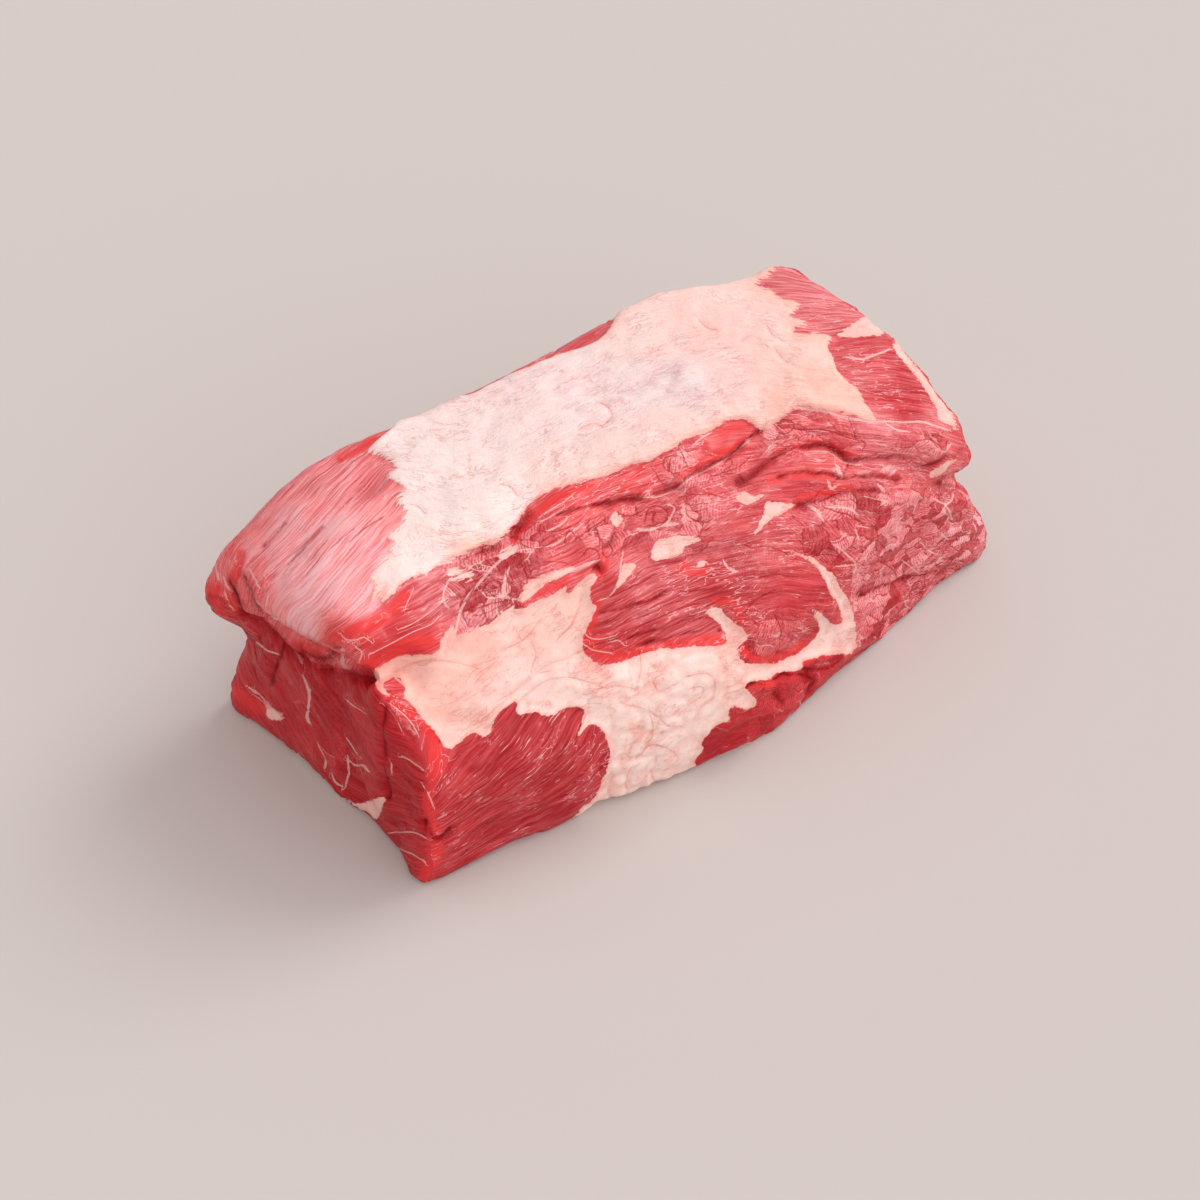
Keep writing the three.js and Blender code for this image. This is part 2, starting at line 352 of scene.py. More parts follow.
FAR = 24.0  # how far round a line the distance to it is worked out, in the units of its points
TINY = 1e-9


def curve(points, closed=False):
    """A smooth line through a few points, as many short straight ones."""
    knots = np.array(points, float)
    if closed:
        knots = np.concatenate((knots[-1:], knots, knots[:2]))
    else:
        knots = np.concatenate((2 * knots[:1] - knots[1:2], knots, 2 * knots[-1:] - knots[-2:-1]))
    pieces = []
    for share in (0, 0.25, 0.5, 0.75):
        before, start, end, after = knots[:-3], knots[1:-2], knots[2:-1], knots[3:]
        bend = 2 * before - 5 * start + 4 * end - after
        twist = 3 * start - before - 3 * end + after
        pieces.append(start + share / 2 * (end - before + share * (bend + share * twist)))
    line = np.stack(pieces, axis=1).reshape(-1, knots.shape[1])
    return line if closed else np.concatenate((line, knots[-2:-1]))


def distance(spots, line):
    """How far each spot is from a line, less than 0 on one side of it, or FAR where that is more."""
    order = np.argsort(spots[:, 1])
    rows = spots[order]
    heights = rows[:, 1]
    nearest = np.full(len(spots), FAR)
    for start, end in zip(line[:-1], line[1:]):
        lowest = np.searchsorted(heights, min(start[1], end[1]) - FAR)
        highest = np.searchsorted(heights, max(start[1], end[1]) + FAR)
        near = rows[lowest:highest]
        step = end - start
        share = np.clip((near - start) @ step / max(step @ step, TINY), 0, 1)
        offset = near - start - share[:, None] * step
        gap = np.copysign(np.hypot(*offset.T), offset @ (-step[1], step[0]))
        before = nearest[lowest:highest]
        nearest[lowest:highest] = np.where(np.abs(gap) < np.abs(before), gap, before)
    result = np.empty(len(spots))
    result[order] = nearest
    return result


def depth_inside(spots, outline):
    """How far each spot lies inside an outline, and less than 0 outside it."""
    ring = curve(outline, closed=True)
    ring = np.concatenate((ring, ring[:1]))
    order = np.argsort(spots[:, 1])
    x, y = spots[order].T
    odd = np.zeros(len(spots), bool)
    for (x1, y1), (x2, y2) in zip(ring[:-1], ring[1:]):
        lowest, highest = np.searchsorted(y, sorted((y1, y2)))
        if lowest < highest:
            odd[lowest:highest] ^= x[lowest:highest] < (x2 - x1) * (y[lowest:highest] - y1) / (y2 - y1) + x1
    inside = np.empty(len(spots), bool)
    inside[order] = odd
    gap = np.abs(distance(spots, ring))
    return np.where(inside, gap, -gap)


def waves(spots, shift=0):
    """Perlin noise at each spot, from about -1 to 1. The shift takes it from another place."""
    return np.array([noise.noise((x, y, z + shift)) for x, y, z in spots.tolist()])


def side_fat(spots, outlines, veins):
    """How deep in fat each spot of a hidden side is, in millimetres, less than 0 in the lean."""
    depth = np.full(len(spots), NO_FAT)
    for outline in outlines:
        depth = np.maximum(depth, depth_inside(spots, outline))
    for half, line in veins:
        depth = np.maximum(depth, half - np.abs(distance(spots, curve(line))))
    return depth


cap = depth_inside(pixels, CAP) * PIXEL
front_fat = depth_inside(pixels, FRONT_FAT) * PIXEL
for outline in LEAN_IN_FAT:
    front_fat = np.minimum(front_fat, -depth_inside(pixels, outline) * PIXEL)
fat_seen = np.maximum(cap, front_fat)
for outline in SMALL_FATS:
    fat_seen = np.maximum(fat_seen, np.minimum(depth_inside(pixels, outline) * PIXEL, THIN))

strayed = stand.copy()
for axis, reach in enumerate(STRAY):
    ripple = 0.4 * reach * waves(stand / STRAY_RIPPLE, 50 + axis)
    strayed[:, axis] += reach * waves(stand / STRAY_WAVE, 40 + axis) + ripple
sides = [(SEEN_WEIGHT * seen, fat_seen)]
for outward, axes, outlines, veins in (
    (normals[:, 1], [0, 2], BACK_FATS, BACK_VEINS),
    (normals[:, 0], [1, 2], RIGHT_FATS, RIGHT_VEINS),
    (-normals[:, 2], [0, 1], UNDER_FATS, UNDER_VEINS),
):
    sides.append((np.clip(outward, 0, 1) ** SIDE_SHARPNESS, side_fat(strayed[:, axes], outlines, veins)))
sides.append((np.full(count, SPARE_WEIGHT), np.full(count, LEAN_DEPTH)))
shares, depths = np.array(sides).transpose(1, 0, 2)
fat = np.sum(shares * depths, axis=0) / shares.sum(axis=0)

# ---------------------------------------------------------------------------------------------- the grain
# The lean is bundles of fibres. Each comb lays their direction at one pixel, as an angle up from the
# picture's right, and says how bright the red is there, how frosted with pale streaks, and how far the cut
# crosses the grain. The pale frost is partly the fibres' own streaks and partly painted sheen of the wet
# film.
COMBS = (
    # frosted face of the upper muscle, left of the cap; its lower part is painted brighter and paler, painted
    # light where the face turns down away from the lamps
    (300, 470, 34, 0.9, 0.7, 0), (340, 480, 38, 0.8, 0.8, 0), (372, 485, 38, 0.7, 0.6, 0),
    (385, 515, 40, 1.3, 0.9, 0), (290, 520, 45, 1.5, 1.1, 0), (340, 530, 44, 1.5, 1.2, 0),
    (375, 550, 48, 1.4, 1.1, 0), (285, 570, 50, 1.5, 1.2, 0), (330, 580, 52, 1.6, 1.35, 0),
    (360, 600, 56, 1.6, 1.3, 0), (300, 620, 52, 1.6, 1.35, 0), (335, 640, 55, 1.2, 0.2, 0),
    (255, 545, 52, 1.6, 0.9, 0), (350, 445, 33, 0.9, 0.5, 0), (375, 430, 33, 1, 0.3, 0),
    (250, 520, 45, 1.1, 0.5, 0),
    # its rolled rim over the left end
    (222, 560, 80, 1.1, 0.5, 0), (218, 600, 97, 1.4, 0.1, 0), (235, 605, 95, 1.4, 0, 0),
    (235, 630, 100, 0.9, 0.2, 0), (255, 585, 75, 1.2, 0.3, 0), (270, 620, 60, 1.1, 0.3, 0),
    (290, 645, 50, 1.1, 0.3, 0), (325, 665, 30, 0.8, 0.3, 0.2), (345, 660, 40, 1, 0.2, 0),
    (375, 640, 38, 0.7, 0.02, 0), (400, 615, 35, 0.7, 0.02, 0), (400, 635, 25, 0.7, 0, 0),
    # band under the cap
    (430, 600, 40, 0.8, 0.55, 0), (425, 635, 35, 0.9, 0, 0), (455, 590, 42, 0.7, 0.65, 0.5),
    (480, 610, 45, 0.5, 0.65, 0.7), (500, 580, 42, 0.5, 0.55, 0.8), (530, 560, 36, 0.7, 0.5, 0.6),
    (500, 555, 35, 0.6, 0.45, 0.5), (545, 525, 34, 0.8, 0.4, 0.5), (560, 505, 32, 1, 0.1, 0.1),
    (560, 560, 33, 0.9, 0.3, 0.2), (590, 500, 30, 1, 0.1, 0), (600, 530, 40, 0.7, 0.4, 0.6),
    (620, 495, 25, 0.9, 0.2, 0.2), (640, 515, 26, 0.7, 0.4, 0.6), (610, 570, 55, 0.8, 0.2, 0.2),
    (650, 470, 28, 1, 0.1, 0), (680, 465, 28, 0.7, 0.5, 0.7), (690, 490, 22, 0.7, 0.4, 0.4),
    (720, 445, 22, 1, 0, 0), (740, 435, 18, 1, 0, 0), (730, 475, 22, 0.8, 0.4, 0.4),
    (700, 520, 22, 0.6, 0.4, 0.6), (770, 440, 20, 0.8, 0.5, 0.6), (790, 425, 10, 0.8, 0.4, 0.5),
    (780, 480, 12, 0.8, 0.2, 0.2), (820, 425, 0, 0.9, 0.3, 0.5), (830, 465, 4, 0.9, 0.1, 0.2),
    (850, 440, -4, 0.9, 0.3, 0.4), (870, 430, -4, 0.8, 0.6, 0.3), (880, 450, -6, 0.7, 0.5, 0.2),
    (900, 435, -6, 0.8, 0.6, 0.4), (930, 440, -12, 0.8, 0.6, 0.5), (955, 445, -40, 0.8, 0.4, 0.3),
    (940, 470, -25, 0.8, 0.3, 0.2), (900, 475, -8, 0.7, 0.5, 0.3),
    # middle tongue and its outer lobes
    (615, 620, 30, 0.5, 0.3, 0), (640, 590, 30, 0.5, 0.4, 0), (650, 620, 20, 0.5, 0.4, 0),
    (605, 645, 5, 0.9, 0, 0), (640, 645, 12, 0.8, 0.1, 0), (680, 590, 22, 0.4, 0.3, 0.1),
    (690, 625, 10, 0.5, 0.3, 0), (720, 580, 10, 0.25, 0.05, 0.2), (740, 560, 10, 0.25, 0.3, 0.3),
    (715, 545, 15, 0.5, 0.4, 0.3), (760, 600, -10, 0.5, 0.2, 0.3), (770, 640, 5, 0.6, 0.3, 0.6),
    (790, 630, -30, 0.6, 0.3, 0.4), (800, 590, -30, 0.6, 0.1, 0.2), (825, 605, -50, 0.5, 0.1, 0.1),
    (780, 545, 5, 0.7, 0.3, 0.3), (740, 520, 25, 0.7, 0.2, 0.2),
    # pale right part, cut across the grain
    (820, 530, 10, 0.8, 0.5, 0.8), (860, 510, -4, 0.8, 0.5, 0.6), (880, 545, -10, 0.8, 0.55, 1),
    (920, 510, -20, 0.8, 0.45, 1), (950, 530, -30, 0.7, 0.55, 1), (970, 545, -40, 0.7, 0.6, 0.8),
    (900, 575, 15, 0.7, 0.45, 1), (930, 580, 20, 0.5, 0.5, 0.8), (870, 610, 25, 0.6, 0.5, 0.9),
    (900, 610, 25, 0.5, 0.3, 0.8), (870, 640, 30, 0.4, 0.15, 0.5), (965, 500, -35, 0.8, 0.6, 0.9),
    # dark strip along the foot at the right
    (840, 660, 35, 0.4, 0, 0.4), (790, 690, 25, 0.3, 0, 0.5), (760, 730, 30, 0.15, 0, 0.4),
    (725, 745, 35, 0.15, 0, 0.3),
    # lower left muscle of the front
    (450, 780, 52, 0.45, 0.12, 0), (480, 760, 55, 0.3, 0.12, 0), (510, 730, 55, 0.25, 0.12, 0),
    (550, 740, 55, 0.25, 0.12, 0), (580, 750, 60, 0.25, 0.12, 0), (520, 780, 42, 0.3, 0.12, 0),
    (560, 790, 42, 0.15, 0.12, 0), (480, 810, 38, 0.35, 0.12, 0), (450, 840, 32, 0.3, 0.12, 0),
    (500, 830, 30, 0.2, 0.12, 0), (445, 865, 30, 0.3, 0.12, 0), (540, 815, 33, 0.1, 0.12, 0),
    # bundles at the right of the top
    (800, 285, -10, 0.8, 0.65, 0), (830, 305, -5, 0.8, 0.65, 0), (815, 325, 5, 0.8, 0.6, 0),
    (860, 347, 3, 0.5, 0.2, 0), (880, 372, -6, 0.5, 0.25, 0), (900, 385, -10, 0.4, 0.2, 0),
    (900, 408, -6, 0.3, 0, 0), (855, 365, -10, 0.5, 0.3, 0),
)
# The fat has faint wrinkles, laid in the same way. After the angle come its shares of apricot, of lilac and
# of soft lobules.
FAT_COMBS = (
    (400, 440, -10, 0, 0.1, 0), (400, 465, -20, 0, 0.1, 0), (440, 480, -25, 0, 0, 0),
    (450, 520, -30, 0, 0, 0), (420, 560, 20, 0.1, 0, 0), (500, 440, 12, 0.1, 0.2, 0),
    (470, 545, 20, 0.6, 0, 0.2), (500, 510, 10, 0.1, 0, 0), (560, 420, 12, 0.1, 0.4, 0),
    (560, 470, 20, 0.4, 0, 0.1), (580, 360, 15, 0.1, 0.5, 0), (620, 400, 12, 0, 0.7, 0),
    (620, 450, 18, 0.4, 0.1, 0.1), (640, 330, 0, 0.4, 0.1, 0), (680, 390, 0, 0, 1, 0),
    (700, 330, -12, 0.7, 0, 0), (680, 430, 15, 0.5, 0.1, 0.2), (740, 400, 5, 0.5, 0.3, 0.1),
    (740, 300, -15, 0.6, 0, 0), (770, 360, -35, 0.7, 0, 0), (810, 350, -30, 0.6, 0, 0),
    (820, 385, -20, 1, 0, 0.2), (850, 405, -15, 1, 0, 0.2), (780, 405, 5, 1, 0, 0.2),
    (395, 670, -30, 1, 0, 0), (420, 700, -38, 1, 0, 0), (450, 670, 10, 0.95, 0, 0),
    (480, 670, 30, 0.9, 0, 0.1), (540, 640, 45, 0.8, 0, 0.1), (580, 600, 50, 0.8, 0, 0),
    (540, 690, 20, 0.5, 0, 0.4), (500, 695, 30, 0.6, 0, 0.3), (600, 700, 0, 0.4, 0, 0.5),
    (640, 690, 15, 0.5, 0, 0.8), (650, 730, 60, 0.5, 0, 1), (700, 700, 35, 0.6, 0, 0.9),
    (720, 670, 20, 0.6, 0, 0.3), (620, 780, 60, 0.8, 0, 1), (680, 750, 40, 0.7, 0, 0.8),
    (760, 670, 20, 0.7, 0, 0.1), (830, 640, 30, 0.5, 0, 0.1), (850, 600, -60, 0.5, 0, 0),
    (940, 400, -45, 0.8, 0, 0.2),
)
# left end, below the rolled rim: the cut face of the lower muscle
END_COMBS = (
    (260, 660, 112, 0.35, 0.02, 0.3), (290, 690, 118, 0.35, 0.02, 0.3), (250, 710, 125, 0.55, 0.02, 0.2),
    (330, 700, 128, 0.15, 0.02, 0.3), (300, 750, 125, 0.45, 0.02, 0.3), (350, 760, 122, 0.4, 0.02, 0.4),
    (380, 700, 145, 0.15, 0, 0), (400, 730, 150, 0.25, 0, 0), (400, 780, 160, 0.25, 0, 0),
    (400, 830, 168, 0.3, 0, 0), (415, 860, 172, 0.4, 0, 0), (420, 740, 130, 0.7, 0, 0),
    (370, 800, 130, 0.35, 0.02, 0.1),
)
LEFT_END = (
    (371, 675), (340, 672), (310, 665), (285, 648), (268, 625), (243, 612), (200, 600), (200, 700),
    (300, 790), (400, 890), (421, 900), (432, 884), (426, 813), (426, 755), (435, 737), (385, 695),
)
# hidden sides: place and direction in millimetres from the foot of the corner, then as above
HIDDEN_COMBS = (
    ((-10, 112, 60), (1, 0, 0.1), 0.7, 0.3, 0), ((0, 112, 20), (1, 0, -0.1), 0.5, 0.1, 0),
    ((20, 116, 85), (1, 0, -0.15), 0.9, 0.6, 0), ((60, 118, 75), (1, 0, 0.2), 0.7, 0.4, 0.1),
    ((60, 116, 20), (1, 0, 0.05), 0.4, 0.15, 0.2), ((100, 120, 65), (1, 0, -0.1), 0.5, 0.2, 0),
    ((120, 122, 80), (1, 0, -0.2), 0.7, 0.4, 0.3), ((120, 121, 25), (1, 0, 0.15), 0.3, 0.1, 0.1),
    ((90, 119, 38), (1, 0, 0.1), 0.6, 0.2, 0.5), ((160, 122, 40), (1, 0, 0.2), 0.5, 0.2, 0.6),
    ((180, 120, 75), (1, 0, 0.1), 0.7, 0.4, 0.3), ((180, 121, 18), (1, 0, -0.1), 0.35, 0.15, 0.3),
    ((220, 112, 80), (1, -0.2, -0.2), 0.8, 0.5, 0.2), ((215, 112, 20), (1, -0.3, 0.1), 0.4, 0.2, 0.4),
    ((40, 60, 0), (1, 0.1, 0), 0.3, 0.1, 0.2), ((120, 60, 0), (1, -0.1, 0), 0.3, 0.1, 0.2),
    ((200, 60, 0), (1, 0.1, 0), 0.35, 0.1, 0.3), ((120, 20, 0), (1, 0, 0), 0.3, 0.1, 0.1),
)
RIGHT_END_COMBS = (
    ((243, 50, 70), (0, 1, 0.2), 0.6, 0.35, 0.7), ((235, 90, 75), (0, 1, -0.1), 0.6, 0.3, 0.6),
    ((250, 50, 20), (0, 1, -0.2), 0.5, 0.35, 0.7), ((240, 85, 20), (0, 1, 0.1), 0.4, 0.25, 0.5),
)
HIDDEN_FAT_COMBS = (
    ((60, 118, 97), (1, 0, 0), 0.3, 0.2, 0), ((170, 122, 92), (1, 0, 0), 0.5, 0, 0.1),
    ((160, 122, 56), (1, 0, 0), 0.7, 0, 0.5), ((50, 115, 18), (1, 0, 0), 0.6, 0, 0.8),
    ((240, 60, 90), (0, 1, 0), 0.7, 0, 0.2), ((100, 10, 0), (1, 0, 0), 0.7, 0, 0.8),
    ((190, 70, 0), (1, 0, 0), 0.6, 0, 0.6),
)
REACH = 5  # how sharply the nearest combs count
STRANGERS = 0.08  # how much a comb in the lean counts in the fat, and the other way round
TOWARD_LENS = 0.1  # a comb is laid on skin that faces the lens at least this much
END_TURN = -0.3  # the left end faces left more than this, and may face away from the lens as much
RIGHT_TURN = 0.62  # the right end faces right more than this
RIGHT_UNSEEN = 0.12  # and faces the lens less than this
UNDER_TURN = -0.7  # the underside faces down more than this
SLIT = 60  # how far behind the corner the slit along the underside runs
SETTLING_ROUNDS = 500


def comb(marks):
    """The places, directions along the surface and finishes that combs drawn on the picture stand for."""
    rows = []
    front = np.where(facing > TOWARD_LENS)[0]
    for x, y, angle, *finish in marks:
        nearest = front[np.argmin(np.sum((pixels[front] - (x, y)) ** 2, axis=1))]
        turn = math.radians(angle)
        line = right * math.cos(turn) + up * math.sin(turn)
        along = np.cross(np.cross(to_lens[nearest], line), normals[nearest])
        rows.append((places[nearest], along / np.linalg.norm(along), finish))
    return rows


def hidden_comb(marks):
    """The same for combs given in millimetres."""
    return [(corner + place, np.array(way) / np.linalg.norm(way), finish) for place, way, *finish in marks]


def lay(rows, chosen):
    """The grain's direction and strength, and the finish, at the chosen vertices, from the combs."""
    comb_places = np.array([row[0] for row in rows])
    ways = np.array([row[1] for row in rows])
    ways *= np.where(ways @ ways[0] < 0, -1, 1)[:, None]
    gaps = np.sum((places[chosen][:, None, :] - comb_places) ** 2, axis=2)
    weights = (gaps + REACH ** 2) ** -2.0
    shares = weights / weights.sum(axis=1, keepdims=True)
    return weights @ ways, shares @ np.array([row[2] for row in rows], float)


everywhere = np.ones(count, bool)
on_left_end = (depth_inside(pixels, LEFT_END) > 0) & (normals[:, 0] < END_TURN) & (facing > END_TURN)
on_right_end = (normals[:, 0] > RIGHT_TURN) & (facing < RIGHT_UNSEEN)
grain_way, lean_finish = lay(comb(COMBS) + hidden_comb(HIDDEN_COMBS), everywhere)
fat_way, fat_finish = lay(comb(FAT_COMBS) + hidden_comb(HIDDEN_FAT_COMBS), everywhere)
for on_end, rows in ((on_left_end, comb(END_COMBS)), (on_right_end, hidden_comb(RIGHT_END_COMBS))):
    grain_way[on_end], lean_finish[on_end] = lay(rows, on_end)
    fat_way[on_end] = 0
in_fat = fade(fat, -1, 1)[:, None]
grain_way *= 1 - (1 - STRANGERS) * in_fat
grain_way += fat_way * (STRANGERS + (1 - STRANGERS) * in_fat)
grain_way -= np.sum(grain_way * normals, axis=1, keepdims=True) * normals
grain_way /= np.linalg.norm(grain_way, axis=1, keepdims=True) + 1e-12
bright, frost_and_sheen, mosaic = lean_finish.T
apricot, lilac, lobed = fat_finish.T

# Lengths along and across the grain: their steps along the edges of the skin come as close as they can to
# what the directions ask for. The skin is slit along the underside and round the two ends.
under = normals[:, 2] < UNDER_TURN
slit = under & (stand[:, 1] > SLIT)
first, second = edges.T
tied = (on_left_end[first] == on_left_end[second]) & (on_right_end[first] == on_right_end[second])
tied &= ~(under[first] & under[second] & (slit[first] != slit[second]))
torn = np.zeros(count)  # 1 along the slit and round the ends, where the lengths jump
torn[edges[~tied].ravel()] = 1
first, second = edges[tied].T


def run_length(way):
    """A length at every vertex that grows along the given directions."""
    wanted = np.sum((places[second] - places[first]) * (way[first] + way[second]) / 2, axis=1)

    def gathered(steps):
        return np.bincount(second, steps, count) - np.bincount(first, steps, count)

    length = np.zeros(count)
    rest = gathered(wanted)
    move = rest.copy()
    size = rest @ rest
    for _ in range(SETTLING_ROUNDS):
        pull = gathered(move[second] - move[first])
        share = size / (move @ pull)
        length += share * move
        rest -= share * pull
        left, size = size, rest @ rest
        move = rest + size / left * move
    return length


along = run_length(grain_way)
across = run_length(np.cross(normals, grain_way))

# ----------------------------------------------------------------------------------------- seams and folds
# Muscles part along seams, the lean is folded where it was handled, and the knife left grooves between
# bundles. The lean along them is painted darker: partly their own deeper red, and partly painted shade in the
# hollows under the cap's edge, the rolled rim and the folds. Each has a half width and a depth in millimetres
# and follows the pixels where it shows.
SEAMS = (
    # left of the cap, between the bundles
    (0.7, 0.7, ((270, 580), (280, 570), (290, 559), (300, 548), (310, 537), (322, 525))),
    (0.8, 0.6, ((262, 543), (270, 537), (278, 531), (285, 523))),
    # left end: under the rolled rim
    (1.7, 2.9, ((243, 612), (256, 618), (268, 630), (285, 648), (310, 665), (340, 672), (371, 676))),
    (1.0, 1.5, ((228, 580), (236, 600), (246, 618))),
    (0.8, 1.0, ((243, 575), (250, 595), (262, 612))),
    (2.4, 2.6, ((300, 651), (311, 657), (322, 660), (334, 652))),
    (1.8, 1.0, ((277, 640), (279, 655), (273, 670), (268, 688))),
    (1.5, 0.9, ((388, 700), (383, 725), (384, 760), (387, 800))),
    (1.2, 1.4, ((452, 832), (442, 839), (432, 838), (424, 822))),
    # under the edge of the cap
    (1.1, 2.0, ((458, 562), (470, 556), (481, 551), (495, 545))),
    (0.9, 1.6, ((512, 534), (517, 526), (522, 519), (528, 513))),
    # folds of the band
    (0.9, 1.2, ((558, 515), (575, 508), (590, 506), (605, 503), (620, 500), (640, 497))),
    (0.9, 1.2, ((655, 492), (675, 485), (692, 474), (715, 462), (732, 454), (749, 438), (761, 431))),
    (0.9, 1.3, ((738, 482), (761, 467), (778, 453), (800, 447), (825, 446), (838, 451), (851, 460),
                (875, 457), (902, 458), (916, 465), (930, 466), (945, 458))),
    (0.9, 1.0, ((780, 475), (805, 471), (832, 474), (842, 478), (870, 473), (900, 478))),
    (1.0, 1.0, ((800, 503), (825, 500), (845, 493), (872, 491), (890, 494))),
    (1.0, 1.6, ((942, 483), (950, 486), (956, 484), (963, 481))),
    (1.1, 1.6, ((606, 543), (611, 537), (614, 529), (617, 519))),
    (1.2, 1.2, ((594, 566), (598, 562), (601, 568))),
    (2.4, 1.0, ((860, 596), (880, 588), (900, 582), (920, 577), (940, 573), (957, 564))),
    # tongue
    (0.8, 0.8, ((640, 645), (660, 640), (680, 634), (700, 631), (727, 628))),
    (0.7, 0.6, ((630, 638), (650, 632), (670, 625), (690, 619), (712, 618))),
    (0.7, 0.6, ((600, 612), (620, 609), (640, 603), (655, 598), (667, 591))),
    (0.7, 0.6, ((700, 617), (711, 618), (722, 621))),
    # lobes along the foot at the right
    (0.8, 1.0, ((745, 697), (751, 686), (763, 684), (774, 690), (781, 702))),
    (0.8, 1.0, ((773, 680), (786, 674), (802, 676), (815, 682), (810, 692))),
    (0.8, 0.9, ((803, 668), (814, 671), (828, 668), (840, 662))),
    # pleats of the soft fat at the foot
    (0.8, 0.9, ((612, 812), (610, 797), (614, 782))),
    (0.8, 1.0, ((634, 806), (628, 790), (632, 774))),
    (0.8, 0.8, ((657, 795), (653, 780), (658, 766))),
)
# seams on the back, by how far along it and up, and on the right end, in millimetres
BACK_SEAMS = (
    (1.0, 1.4, ((-16, 35), (10, 38), (40, 44), (68, 51), (95, 57), (120, 53), (150, 53), (180, 58),
                (224, 56))),
    (0.8, 0.8, ((118, 82), (140, 81), (162, 75), (184, 79), (208, 79))),
    (0.8, 0.8, ((12, 29), (34, 24), (60, 22), (94, 28), (120, 31))),
    (0.7, 0.6, ((24, 62), (52, 68), (82, 66))),
)
RIGHT_SEAMS = (
    (1.0, 1.2, ((28, 42), (50, 43), (75, 46), (100, 51), (116, 57))),
    (0.8, 0.8, ((44, 70), (60, 64), (78, 68), (98, 62))),
    (0.7, 0.6, ((58, 10), (72, 14), (88, 12))),
)
